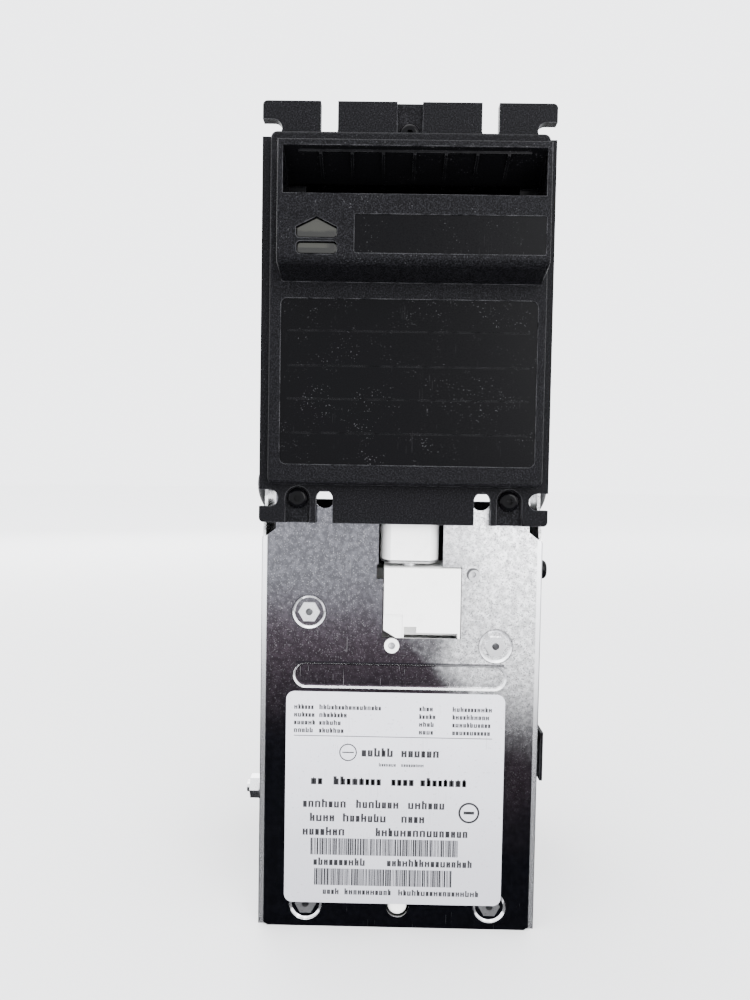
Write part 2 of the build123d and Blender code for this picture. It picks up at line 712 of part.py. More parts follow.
def cassette_body():
    low, high = CASSETTE_Z
    half = CASSETTE_HALF
    front, back = CASSETTE_Y
    inner = half - WALL
    box = block(-half, half, front, back, low, high)
    box = fillet(box.edges().filter_by(Axis.Y), 1.5)
    box -= block(-inner, inner, front + WALL, back + 1, low + WALL, high - WALL)
    box -= from_front(rounded((-30.0, 30.0), (-196.0, -80.0), 2.0), front - 1, front + WALL + 1)
    for x in (-40.0, 40.0):
        box -= block(x - 2.2, x + 2.2, front - 1, front + 0.3, low - 1, high + 1)
    box -= block(half - 0.9, half + 1, 43.2, 47.0, LATCH_Z[0] - 0.8, LATCH_Z[1] + 0.8)
    knuckles = cassette_knuckles(True)
    for z0 in (-190.0, -100.0):
        knuckles += block(-half, -43.0, back - 1, DOOR_HINGE[1], z0, z0 + 14.0)
    return box + knuckles - rod_z(1.0, -200, -80, *DOOR_HINGE)


def cassette_hinge_pin():
    return group(*[rod_z(1.0, z0 - 0.5, z0 + 29.0, *DOOR_HINGE) for z0 in (-190.0, -100.0)])


def cassette_door():
    y0 = CASSETTE_Y[1] + 0.4
    door = block(-41.4, 45.2, y0, y0 + DOOR_T, CASSETTE_Z[0] + 0.8, CASSETTE_Z[1] - 1.0)
    door = fillet(door.edges().filter_by(Axis.Y), 1.5)
    for z in (-185.0, -160.0, -135.0, -110.0, -85.0):
        door += block(-34.0, 30.0, y0 + DOOR_T, y0 + DOOR_T + 0.8, z - 1, z + 1)
    knuckles = cassette_knuckles(False)
    for z0 in (-190.0, -100.0):
        low = z0 + 14.3
        knuckles += block(DOOR_HINGE[0], -41.0, y0 + 0.3, y0 + DOOR_T, low, low + 14.0)
    door += knuckles
    door -= rod_z(1.0 + RUN, -200, -70, *DOOR_HINGE)
    return door - rod_y(2.5, y0 - 1, y0 + DOOR_T + 1, 37.0, -135.0)


def door_knob():
    y0 = CASSETTE_Y[1] + 0.4
    knob = rod_y(2.4, y0 - 1.6, y0 + DOOR_T + 0.3, 37.0, -135.0)
    disc = rod_y(6.0, y0 + DOOR_T + 0.2, y0 + DOOR_T + 1.0, 37.0, -135.0)
    grip = block(35.8, 38.2, y0 + DOOR_T + 0.9, y0 + DOOR_T + 3.4, -140.6, -129.4)
    tongue = block(35.2, 42.8, y0 - 2.0, y0 - 0.6, -137.0, -133.0)
    return knob + disc + fillet(grip.edges().filter_by(Axis.Y), 1.0) + tongue


def pressure_plate():
    span_z = (CASSETTE_Z[0] + 3.4, CASSETTE_Z[1] - 3.0)
    plate = from_front(rounded((-42.8, 42.8), span_z, 2.0), *PRESSURE_Y)
    for z in SPRING_Z:
        plate += rod_y(SPRING_R - 1.8, PRESSURE_Y[1], PRESSURE_Y[1] + 3, 0, z)
    return plate


def pressure_springs():
    coils = []
    for z in SPRING_Z:
        tube = rod_y(SPRING_R, PRESSURE_Y[1], SPRING_BAR_Y[0], 0, z)
        coils.append(tube - rod_y(SPRING_R - 1.2, PRESSURE_Y[1] - 1, SPRING_BAR_Y[0] + 1, 0, z))
    return group(*coils)


def spring_bar():
    inner = CASSETTE_HALF - WALL
    bar = block(-inner, inner, *SPRING_BAR_Y, -120.0, -100.0)
    bar += block(-inner, inner, *SPRING_BAR_Y, -172.0, -152.0)
    return bar + block(-10.0, 10.0, *SPRING_BAR_Y, -153.0, -119.0)


def latch_profile():
    x, y = LATCH_PIVOT
    return outline(
        (49.5, 12.0),
        (50.6, 12.0),
        (50.6, y),
        (50.2, y + 1.5),
        (50.2, 46.0),
        (46.3, 46.0),
        (46.3, 45.4),
        (48.6, 44.0),
        (48.6, y + 2),
        (47.4, y + 1.2),
        (47.4, y - 1.2),
        (49.5, y - 3),
    )


def cassette_latch():
    lever = Pos(0, 0, LATCH_Z[0]) * extrude(latch_profile(), LATCH_Z[1] - LATCH_Z[0])
    return lever - rod_z(0.8 + RUN, -160, -138, *LATCH_PIVOT)


def latch_pin():
    return rod_z(0.8, LATCH_Z[0] - 2.2, LATCH_Z[1] + 2.2, *LATCH_PIVOT)


def latch_spring():
    z = sum(LATCH_Z) / 2
    return rod_x(2.2, BOX_HALF, 49.5, 19.0, z) - rod_x(1.5, 46, 51, 19.0, z)


# ---------------------------------------------------------------- head: inner guide and drive
def inner_profile(inset):
    """Inner guide's side outline, with its rounded top rear corner."""
    y, z = BEND
    radius = INNER_R - inset
    front = 4.5 - inset * 3
    face = outline(
        (front, HEAD_BOTTOM + inset),
        (y + radius, HEAD_BOTTOM + inset),
        (y + radius, z + radius),
        (front, z + radius),
    )
    corner = face.vertices().sort_by(Axis.X)[-2:].sort_by(Axis.Y)[-1]
    return fillet(corner, radius)


def motor_axis():
    centre = MODULE * (GEAR_TEETH + PINION_TEETH) / 2
    y = LOWER_SHAFT[0] - MOTOR_DROP
    return y, LOWER_SHAFT[1] + math.sqrt(centre ** 2 - MOTOR_DROP ** 2)


def head_inner_guide():
    shell = from_side(inner_profile(0), -HEAD_HALF, HEAD_HALF)
    shell -= from_side(inner_profile(WALL), -HEAD_HALF + WALL, HEAD_HALF - WALL)
    for x in (PATH_X - BELT_X, PATH_X + BELT_X):
        shell -= block(x - BELT_W / 2 - 0.5, x + BELT_W / 2 + 0.5, 9.0, 32.0, -44.2, 39.0)
    shell -= block(-11.0, 13.4, 28.0, 31.0, -4.0, 6.0)
    shell += block(14.0, 16.0, 4.5, 28.6, -30.0, -4.6)
    for x, z in head_screw_spots():
        shell += block(x - 2.7, x + 2.7, 4.5, 10.5, z - 3, z + 3)
        shell -= rod_y(1.2, 3, 12, x, z)
    for y, z, radius in ((*LOWER_SHAFT, DRIVE_SHAFT_R), (*BEND, DRIVE_SHAFT_R)):
        shell -= rod_x(radius + RUN, -HEAD_HALF - 1, HEAD_HALF + 1, y, z)
    y, z = motor_axis()
    shell -= rod_x(1.5, 30, HEAD_HALF + 1, y, z)
    return shell - rod_x(3.1, 13, 17, y, z)


def head_frame_screws():
    return group(*[button_screw(x, PLATE_Y, z, 2.6, 1.5, 1.2, 6.0) for x, z in head_screw_spots()])


def transport_motor():
    y, z = motor_axis()
    section = Circle(10.0) & Rectangle(15.1, 40)
    can = from_side(Pos(y, z) * section, -12.0, 13.0)
    can = fillet(can.faces().sort_by(Axis.X)[-1].edges(), 1.2)
    can += rod_x(3.0, 12.5, 14.6, y, z)
    can += from_side(Pos(y, z) * (Circle(9.2) & Rectangle(13.8, 40)), -13.4, -12.0)
    return can - rod_x(1.1, 10, 16, y, z)


def toward_motor():
    y, z = motor_axis()
    return math.degrees(math.atan2(z - LOWER_SHAFT[1], y - LOWER_SHAFT[0]))


def transport_pinion():
    """Motor shaft and pinion; a tooth space faces the drive gear."""
    start = toward_motor() + 180.0 + 180.0 / PINION_TEETH
    face = gear_face(PINION_TEETH, MODULE, 0.8, 1.05, 0.1, start)
    pinion = from_side(Pos(*motor_axis()) * face, *GEAR_X)
    return pinion + rod_x(1.0, 10.5, GEAR_X[1] + 0.3, *motor_axis())


def drive_gear():
    face = gear_face(GEAR_TEETH, MODULE, GEAR_ADDENDUM, 1.05, 0.1, toward_motor())
    gear = gear_x(face, *GEAR_X, LOWER_SHAFT, DRIVE_SHAFT_R)
    for index in range(5):
        angle = math.radians(72 * index)
        y = LOWER_SHAFT[0] + 8.4 * math.cos(angle)
        z = LOWER_SHAFT[1] + 8.4 * math.sin(angle)
        gear -= rod_x(2.6, GEAR_X[0] - 1, GEAR_X[1] + 1, y, z)
    return gear


def drive_shaft(centre, x0, x1):
    return rod_x(DRIVE_SHAFT_R, x0, x1, *centre)


def drive_pulleys(centre, belt_r):
    pulleys = []
    for x in (PATH_X - BELT_X, PATH_X + BELT_X):
        disc = rod_x(belt_r - BELT_T - 0.05, x - BELT_W / 2, x + BELT_W / 2, *centre)
        pulleys.append(disc - rod_x(DRIVE_SHAFT_R, x - 6, x + 6, *centre))
    return group(*pulleys)


def drive_belts():
    loops = []
    for x in (PATH_X - BELT_X, PATH_X + BELT_X):
        loops.append(
            belt_loop(
                x - BELT_W / 2,
                x + BELT_W / 2,
                BEND,
                INNER_R + BELT_PROUD,
                LOWER_SHAFT,
                LOWER_BELT_R,
                BELT_T,
            )
        )
    return group(*loops)


# ---------------------------------------------------------------- head: outer guide, covers and electronics
def mouth_upper_guide():
    roof = block(-38.0, 40.0, 4.5, 18.0, 39.5, 53.0)
    roof -= block(-36.0, 38.0, 3.5, 16.0, 41.5, 51.0)
    roof += block(-HEAD_HALF, PATH_X - PATH_HALF - 0.2, 4.5, 18.0, 37.5, 45.0)
    roof += block(PATH_X + PATH_HALF + 0.2, HEAD_HALF, 4.5, 18.0, 37.5, 45.0)
    roof += block(-10.0, 10.0, FLANGE_T, 10.0, 52.0, 64.0)
    roof += block(-8.0, 8.0, 14.5, 18.0, 52.5, 55.4)
    return roof - rod_y(1.25, 3, 12, 0, SCREW_TOP_Z)


def outer_profile(wall):
    """Outer guide's side outline, wall thinner on each side when it cuts the hollow."""
    y, z = BEND
    near = OUTER_R + wall
    front = 18.5 + wall
    back = 54.0 + wall
    top = 54.0 - wall
    face = outline(
        (y + near, -54.0 + wall),
        (back, -54.0 + wall),
        (back, top),
        (front, top),
        (front, z + near),
        (y + near, z + near),
    )
    inner_corner = face.vertices().sort_by_distance((y + near, z + near))[0]
    face = fillet(inner_corner, min(near - 0.01, near - front + y - 0.5))
    rear_corner = face.vertices().sort_by_distance((back, top))[0]
    return fillet(rear_corner, 10.0 - wall)


def idler_centre(upper):
    if not upper:
        return (LOWER_SHAFT[0] + LOWER_BELT_R + BILL_GAP + IDLER_R, LOWER_SHAFT[1])
    reach = INNER_R + BELT_PROUD + BILL_GAP + IDLER_R
    angle = math.radians(50)
    return (BEND[0] + reach * math.cos(angle), BEND[1] + reach * math.sin(angle))


def head_outer_guide():
    shell = from_side(outer_profile(0), -OUTER_HALF, OUTER_HALF)
    shell -= from_side(outer_profile(WALL), -OUTER_HALF + WALL, OUTER_HALF - WALL)
    for side in (-1, 1):
        left, right = sorted((side * 36.8, side * OUTER_HALF))
        shell += rod_x(3.2, left, right, *HEAD_HINGE)
        shell += block(left, right, HEAD_HINGE[0] - 3.2, HEAD_HINGE[0] + 3.2, HEAD_HINGE[1], -53.0)
    shell -= rod_x(1.5 + RUN, -OUTER_HALF - 1, OUTER_HALF + 1, *HEAD_HINGE)
    for upper in (False, True):
        centre = idler_centre(upper)
        for side in (-1, 1):
            x = PATH_X + side * BELT_X
            shell -= rod_x(IDLER_R + 0.5, x - 3.5, x + 3.5, *centre)
            left, right = sorted((x + side * 4.0, x + side * 6.5))
            shell += rod_x(2.4, left, right, *centre)
        shell -= rod_x(1.2 + RUN, PATH_X - 28, PATH_X + 28, *centre)
    for low, high in STUD_NOTCH_X:
        shell -= block(low, high, 0, HEAD_SIDE_BACK + 4, BOX_TOP, STUD_NOTCH_TOP)
    y, z = LATCH_TOP_PIVOT
    for side in (-1, 1):
        left, right = sorted((side * 8.8, side * 10.8))
        ear = rod_x(2.2, left, right, y, z) + block(left, right, y - 2.2, y + 2.2, 53.5, z)
        shell += ear
    return shell - rod_x(1.0 + RUN, -12, 12, y, z)


def idler(upper):
    centre = idler_centre(upper)
    parts = rod_x(1.2, PATH_X - 26.5, PATH_X + 26.5, *centre)
    for side in (-1, 1):
        x = PATH_X + side * BELT_X
        parts += rod_x(IDLER_R, x - 3.0, x + 3.0, *centre)
    return parts


def head_hinge_pin():
    return rod_x(1.5, -BOX_HALF, BOX_HALF, *HEAD_HINGE)


def head_latch():
    y, z = LATCH_TOP_PIVOT
    lever = outline(
        (12.0, 57.2),
        (12.0, 59.0),
        (y, 59.6),
        (39.0, 60.6),
        (39.0, 59.2),
        (y + 3, 57.6),
        (y + 1.5, 55.2),
        (y - 1.5, 55.2),
        (y - 3, 57.2),
        (14.4, 57.2),
        (14.0, 55.7),
        (12.6, 55.7),
    )
    return from_side(lever, -8.4, 8.4) + rod_x(1.0, -10.6, 10.6, y, z)


def control_board():
    board = block(-37.4, 37.4, 47.0, 48.6, -50.0, 40.0)
    chips = (
        (-20.0, 22.0, 14.0, 14.0, 1.6),
        (8.0, 24.0, 10.0, 10.0, 1.4),
        (20.0, -10.0, 8.0, 18.0, 2.0),
        (-14.0, -8.0, 12.0, 6.0, 2.2),
    )
    for x, z, width, height, depth in chips:
        board += block(x - width / 2, x + width / 2, 48.6, 48.6 + depth, z - height / 2, z + height / 2)
    for x in (-6.0, 4.0):
        board += rod_y(3.1, 48.6, 56.5, x, 6.0)
    inner = OUTER_HALF - WALL
    return board + block(-inner, inner, 47.0, 48.6, -20.0, 20.0)


def rear_cover():
    back = 60.0
    cover = block(-OUTER_HALF, OUTER_HALF, 54.0, back, -54.0, 44.0)
    cover = fillet(cover.edges().filter_by(Axis.Y), 1.0)
    cover = fillet(cover.faces().sort_by(Axis.Y)[-1].edges(), 1.5)
    cover -= block(-OUTER_HALF + WALL, OUTER_HALF - WALL, 53.0, back - WALL, -52.0, 42.0)
    cover -= block(-31.0, -6.4, 55.0, back + 1, -45.0, -33.4)
    for z in (8.0, 14.0, 20.0, 26.0, 32.0):
        cover -= block(-14.0, 26.0, 55.0, back + 1, z - 1, z + 1)
    return cover


def interface_socket():
    shroud = block(-30.4, -7.0, 48.6, 61.0, -44.4, -34.0)
    shroud -= block(-29.2, -8.2, 53.0, 62.0, -43.2, -35.2)
    pins = Part()
    for column in range(7):
        for row in (-41.2, -37.2):
            x = -27.7 + column * 3.0
            pins += block(x - 0.4, x + 0.4, 52.0, 59.0, row - 0.4, row + 0.4)
    return shroud + pins


# ---------------------------------------------------------------- all the nodes
NODES = {
    "bezel": bezel,
    "light_pipe": light_pipe,
    "led_board": led_board,
    "bezel_screws": bezel_screws,
    "chassis": chassis,
    "clinch_standoffs": clinch_standoffs,
    "label": label,
    "locating_peg": locating_peg,
    "ground_stud": ground_stud,
    "ground_washer": ground_washer,
    "ground_nut": ground_nut,
    "side_screw": side_screw,
    "side_caps": side_caps,
    "gearbox_housing": gearbox_housing,
    "gearbox_cover": gearbox_cover,
    "gearbox_fixings": gearbox_fixings,
    "stacker_motor": stacker_motor,
    "stacker_worm": stacker_worm,
    "worm_wheel": worm_wheel,
    "upper_pinion_shaft": lambda: pinion_shaft(0),
    "upper_pinions": lambda: rack_pinions(0),
    "upper_sync_pulley": lambda: sync_pulley(0),
    "lower_pinion_shaft": lambda: pinion_shaft(1),
    "lower_pinions": lambda: rack_pinions(1),
    "lower_sync_pulley": lambda: sync_pulley(1),
    "sync_belt": sync_belt,
    "shaft_bushings": shaft_bushings,
    "pusher_plate": pusher_plate,
    "pusher_racks": pusher_racks,
    "bill_guide_frame": bill_guide_frame,
    "guide_screws": guide_screws,
    "cassette_body": cassette_body,
    "cassette_hinge_pin": cassette_hinge_pin,
    "cassette_door": cassette_door,
    "door_knob": door_knob,
    "pressure_plate": pressure_plate,
    "pressure_springs": pressure_springs,
    "spring_bar": spring_bar,
    "cassette_latch": cassette_latch,
    "latch_pin": latch_pin,
    "latch_spring": latch_spring,
    "head_inner_guide": head_inner_guide,
    "head_frame_screws": head_frame_screws,
    "transport_motor": transport_motor,
    "transport_pinion": transport_pinion,
    "drive_gear": drive_gear,
    "lower_drive_shaft": lambda: drive_shaft(LOWER_SHAFT, -42.6, 45.6),
    "lower_drive_pulleys": lambda: drive_pulleys(LOWER_SHAFT, LOWER_BELT_R),
    "upper_drive_shaft": lambda: drive_shaft(BEND, -42.6, 42.6),
    "upper_drive_pulleys": lambda: drive_pulleys(BEND, INNER_R + BELT_PROUD),
    "drive_belts": drive_belts,
    "mouth_upper_guide": mouth_upper_guide,
    "head_outer_guide": head_outer_guide,
    "head_hinge_pin": head_hinge_pin,
    "upper_idler": lambda: idler(True),
    "lower_idler": lambda: idler(False),
    "head_latch": head_latch,
    "control_board": control_board,
    "rear_cover": rear_cover,
    "interface_socket": interface_socket,
}


def main():
    os.makedirs("parts", exist_ok=True)
    for name, make in NODES.items():
        export_step(make(), f"parts/{name}.step")


if __name__ == "__main__":
    main()
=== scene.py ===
import json
import math
import random

import bpy
from bpy.props import FloatProperty, FloatVectorProperty, IntProperty, PointerProperty
from mathutils import Matrix, Vector


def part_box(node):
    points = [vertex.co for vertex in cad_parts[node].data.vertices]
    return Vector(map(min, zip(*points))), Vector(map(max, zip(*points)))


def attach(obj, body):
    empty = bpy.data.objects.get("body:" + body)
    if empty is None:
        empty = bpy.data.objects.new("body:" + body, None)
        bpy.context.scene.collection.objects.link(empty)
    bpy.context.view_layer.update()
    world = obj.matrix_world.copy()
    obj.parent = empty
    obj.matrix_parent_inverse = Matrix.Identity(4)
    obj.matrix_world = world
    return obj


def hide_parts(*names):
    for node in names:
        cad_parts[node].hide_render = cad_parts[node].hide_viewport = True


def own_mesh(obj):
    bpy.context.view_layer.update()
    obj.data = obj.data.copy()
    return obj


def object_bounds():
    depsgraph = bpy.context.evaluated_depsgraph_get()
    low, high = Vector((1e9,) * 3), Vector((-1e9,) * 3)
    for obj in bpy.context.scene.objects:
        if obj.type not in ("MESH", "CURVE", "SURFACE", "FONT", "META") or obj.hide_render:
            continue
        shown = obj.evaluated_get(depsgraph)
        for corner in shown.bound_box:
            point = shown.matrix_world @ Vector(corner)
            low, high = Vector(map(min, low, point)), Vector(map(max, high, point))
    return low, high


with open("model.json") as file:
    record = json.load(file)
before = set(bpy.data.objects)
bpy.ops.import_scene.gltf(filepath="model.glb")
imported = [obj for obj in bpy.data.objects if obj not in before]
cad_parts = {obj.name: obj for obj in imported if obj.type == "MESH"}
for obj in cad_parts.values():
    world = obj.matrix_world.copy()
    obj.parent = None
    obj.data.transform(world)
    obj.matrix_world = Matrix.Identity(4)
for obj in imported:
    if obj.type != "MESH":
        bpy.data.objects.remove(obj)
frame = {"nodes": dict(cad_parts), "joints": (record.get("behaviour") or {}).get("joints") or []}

bl_info = {
    "name": "Bill validator looks",
    "version": (1, 0, 0),
    "blender": (4, 5, 0),
    "location": "View3D > Sidebar > Validator",
    "description": "Finishes, printed label, coil springs and studio for a bill validator",
    "category": "Object",
}

NODES = frame["nodes"]
CAD_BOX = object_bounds()
MM = 0.001

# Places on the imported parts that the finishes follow. The origin is the studs' centre.
PLATE_Y = 3.5 * MM
PLATE_HALF = 47.0 * MM
TONGUE_TOP = 14.0 * MM
PRESSED_DEPTH = (0.06 * MM, 0.74 * MM)
UPPER_DIMPLES_Z = (-98.0 * MM, -108.6 * MM)
DIMPLE_EDGE_R = 5.75 * MM
STANDOFF_REACH = 3.64 * MM
ABOVE_RIB = (-115.6 * MM, -114.6 * MM)
RIB_HALF = 35.0 * MM
RIVET_R = 2.2 * MM
PEG_R = 2.5 * MM

# The bezel's smooth areas, as spans of X, Y and Z in millimetres
LOWER_PANEL = ((-40.3, 41.7), (-4.85, -4.0), (-48.5, 4.4))
UPPER_PANEL = ((-16.8, 41.3), (-17.2, -16.6), (15.3, 27.1))
THROAT = ((-38.6, 41.1), (-16.9, 30.0), (32.4, 48.0))

# Radii of the stage's two discs, and how far the dark sheet lies under the floor; the sheet is
# there only to give glossy parts a painted dark reflection
FLOOR_R = 6.0
REFLECTION_SHEET_R = 0.75
REFLECTION_SHEET_DROP = 45.0 * MM

# How far the fine marks of a ground shaft are drawn out along X, Y and Z
TURNED_ALONG_X = (12, 1, 1)

# Name, place, aim, size in metres and power in watts
LIGHTS = (
    ("window", (0.55, -1.1, 0.35), (0, 0, -0.07), (0.7, 0.9), 26),
    ("top", (-0.2, -0.3, 1.2), (0, 0, -0.05), (1.2, 1.2), 22),
    ("back", (-0.5, 1.2, 0.6), (0, 0.05, -0.05), (0.9, 0.9), 16),
)


# ---------------------------------------------------------------- what a user would change
def colour(name, text, default):
    return FloatVectorProperty(
        name=name, description=text, subtype="COLOR", size=3, min=0, max=1, default=default
    )


def length(name, text, default):
    return FloatProperty(
        name=name, description=text, unit="LENGTH", precision=5, min=0, default=default
    )


class ValidatorColours(bpy.types.PropertyGroup):
    """Base colours of the finishes."""

    moulding: colour("Moulding", "Black moulded plastic", (0.0018, 0.0018, 0.0021))
    # The zinc tones grade the plate's front as a painted reflection, pale at the upper right and
    # dark near the foot; the light tone is also the plate's own colour on its walls, flecks and
    # scratches.
    zinc_light: colour("Zinc, light", "Zinc plate where it is palest", (0.74, 0.74, 0.75))
    zinc_grey: colour("Zinc, grey", "Zinc plate at the upper left", (0.088, 0.088, 0.098))
    zinc_plum: colour("Zinc, plum", "Passivation tint at mid height", (0.050, 0.039, 0.048))
    # Painted reflection: the dark that the plate reflects near its foot.
    zinc_dark_reflection: colour("Zinc, dark", "Zinc plate near the foot", (0.014, 0.015, 0.021))
    film: colour("Label film", "Polyester label", (0.38, 0.38, 0.41))
    ink: colour("Ink", "Print on the label", (0.012, 0.012, 0.014))
    nylon: colour("Nylon", "White gearbox and gears", (0.88, 0.88, 0.86))
    smoke: colour("Smoke window", "Lamp window", (0.012, 0.012, 0.0095))
    resist: colour("Solder resist", "Circuit boards", (0.010, 0.085, 0.035))
    rubber: colour("Rubber", "Belts and idlers", (0.012, 0.012, 0.012))
    steel: colour("Steel", "Shafts, pins and springs", (0.56, 0.56, 0.57))
    floor: colour("Floor", "Pale studio floor", (0.66, 0.66, 0.66))


class ValidatorSizes(bpy.types.PropertyGroup):
    """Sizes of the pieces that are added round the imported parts."""

    grain: length("Grain", "Size of the texture on moulded plastic", 0.42 * MM)
    speckle: length("Speckle", "Size of the zinc plate's speckles", 0.42 * MM)
    edge: length("Edge", "Softening of the moulded edges", 0.25 * MM)
    wire: length("Spring wire", "Wire of the two cassette springs", 1.2 * MM)
    latch_wire: length("Latch wire", "Wire of the latch spring", 0.35 * MM)
    print_lift: length("Print lift", "How far the print stands off the film", 0.012 * MM)
    turns: IntProperty(
        name="Turns", description="Turns of each cassette spring", min=3, default=9
    )


class ValidatorStage(bpy.types.PropertyGroup):
    """Camera and lights."""

    lens: FloatProperty(name="Lens", description="Focal length in mm", default=27.0)
    distance: length("Distance", "Camera in front of the flange", 246.3 * MM)
    height: FloatProperty(
        name="Height", description="Camera above the studs' centre",
        unit="LENGTH", default=-50.0 * MM,
    )
    aside: FloatProperty(
        name="Aside", description="Camera to the right of the studs' centre",
        unit="LENGTH", default=-7.0 * MM,
    )
    pitch: FloatProperty(
        name="Pitch", description="Tilt below level", subtype="ANGLE", default=math.radians(2.3)
    )
    yaw: FloatProperty(
        name="Yaw", description="Turn to the left", subtype="ANGLE", default=math.radians(0.53)
    )
    roll: FloatProperty(
        name="Roll", description="Turn about the view", subtype="ANGLE", default=math.radians(0.95)
    )
    room: FloatProperty(name="Room light", description="Strength of the pale room", default=4.0)


def colours():
    return bpy.context.scene.validator_colours


def sizes():
    return bpy.context.scene.validator_sizes


# ---------------------------------------------------------------- shader maths
class Wire:
    """A shader socket. Arithmetic on it adds Math nodes."""

    def __init__(self, finish, socket):
        self.finish = finish
        self.socket = socket

    def maths(self, operation, *others):
        return self.finish.node("ShaderNodeMath", {"operation": operation}, [self, *others])

    def __add__(self, other):
        return self.maths("ADD", other)

    def __mul__(self, other):
        return self.maths("MULTIPLY", other)

    def __sub__(self, other):
        return self.maths("SUBTRACT", other)

    def __rsub__(self, other):
        return self.finish.node("ShaderNodeMath", {"operation": "SUBTRACT"}, [other, self])

    def __gt__(self, other):
        return self.maths("GREATER_THAN", other)

    def __lt__(self, other):
        return self.maths("LESS_THAN", other)

    def __abs__(self):
        return self.maths("ABSOLUTE")

    __radd__ = __add__
    __rmul__ = __mul__


class Finish:
    """A material while it is put together; node() adds any node to it."""

    def __init__(self, name):
        self.material = bpy.data.materials.new(name)
        self.material.use_nodes = True
        self.tree = self.material.node_tree
        self.tree.nodes.clear()
        self.place = self.node("ShaderNodeTexCoord", output="Object")
        axes = [self.node("ShaderNodeSeparateXYZ", inputs=[self.place], output=i) for i in range(3)]
        self.x, self.y, self.z = axes

    def node(self, kind, settings=None, inputs=(), output=0):
        made = self.tree.nodes.new(kind)
        for key, value in (settings or {}).items():
            setattr(made, key, value)
        pairs = inputs.items() if isinstance(inputs, dict) else enumerate(inputs)
        for key, value in pairs:
            if isinstance(value, Wire):
                self.tree.links.new(value.socket, made.inputs[key])
            else:
                made.inputs[key].default_value = value
        return Wire(self, made.outputs[output])

    def noise(self, size, detail=2.0, stretch=(1, 1, 1), turn=(0, 0, 0), warp=0.0):
        """Noise whose features are about size metres across; stretch above 1 draws them out."""
        turned = self.node(
            "ShaderNodeMapping",
            inputs={
                "Vector": self.place,
                "Rotation": turn,
                "Scale": [1 / share for share in stretch],
            },
        )
        return self.node(
            "ShaderNodeTexNoise",
            inputs={"Vector": turned, "Scale": 1 / size, "Detail": detail, "Distortion": warp},
        )

    def smooth(self, value, low, high):
        """0 below low, 1 above high, and smooth between them."""
        inputs = {"Value": value, "From Min": low, "From Max": high}
        return self.node("ShaderNodeMapRange", {"interpolation_type": "SMOOTHSTEP"}, inputs)

    def within(self, axis, low, high):
        return (axis > low) * (axis < high)

    def inside(self, *spans):
        """Mask of a box given by its spans of X, Y and Z in millimetres."""
        mask = 1
        for axis, (low, high) in zip((self.x, self.y, self.z), spans):
            mask = mask * self.within(axis, low * MM, high * MM)
        return mask

    def from_origin(self):
        """Distance from the origin."""
        settings = {"operation": "LENGTH"}
        return self.node("ShaderNodeVectorMath", settings, [self.place], output="Value")

    def distance_xz(self, x, z):
        """Distance in X and Z from a point."""
        return ((self.x - x) * (self.x - x) + (self.z - z) * (self.z - z)).maths("SQRT")

    def blend(self, share, first, second):
        """Mix of two colours, each an rgb tuple or a Wire."""
        first, second = [c if isinstance(c, Wire) else (*c, 1) for c in (first, second)]
        settings = {"data_type": "RGBA"}
        return self.node("ShaderNodeMix", settings, {0: share, 6: first, 7: second}, output=2)

    def tinted(self, first, second):
        """Two colours multiplied."""
        settings = {"data_type": "RGBA", "blend_type": "MULTIPLY", "clamp_result": False}
        return self.node("ShaderNodeMix", settings, {0: 1.0, 6: first, 7: second}, output=2)

    def scratches(self, spread, turn, cut=0.74):
        """Sparse fine lines, spread metres long, turned about Y and gently bowed."""
        width = 0.22 * MM
        fine = self.noise(width, 1.0, (1, 1, spread / width), (0, turn, 0), 0.12)
        patches = self.noise(11 * MM, 1.0, turn=(0, turn, 0.4))
        return self.smooth(fine * self.smooth(patches, 0.50, 0.66), cut - 0.05, cut)

    def outer_edge_mask(self, radius):
        """Mask that is 1 on the outer edges of the shape."""
        rounded = self.node("ShaderNodeBevel", {"samples": 4}, {"Radius": radius})
        flat = self.node("ShaderNodeNewGeometry", output="True Normal")
        settings = {"operation": "DOT_PRODUCT"}
        match = self.node("ShaderNodeVectorMath", settings, [rounded, flat], output="Value")
        return self.smooth(1 - match, 0.03, 0.22)

    def bump(self, height, depth, strength):
        inputs = {"Height": height, "Distance": depth, "Strength": strength}
        return self.node("ShaderNodeBump", inputs=inputs)

    def shade(self, base, roughness, metallic=0.0, normal=None, **constants):
        """Finishes the material; constants go straight to the shader's own sockets."""
        base = base if isinstance(base, Wire) else (*base, 1)
        inputs = {"Base Color": base, "Roughness": roughness, "Metallic": metallic}
        if normal is not None:
            inputs["Normal"] = normal
        for key, value in constants.items():
            inputs[key.replace("_", " ").title().replace("Ior", "IOR")] = value
        shader = self.node("ShaderNodeBsdfPrincipled", inputs=inputs)
        out = self.tree.nodes.new("ShaderNodeOutputMaterial")
        self.tree.links.new(shader.socket, out.inputs["Surface"])
        return self.material


def scaled(rgb, share):
    return tuple(min(1.0, value * share) for value in rgb)


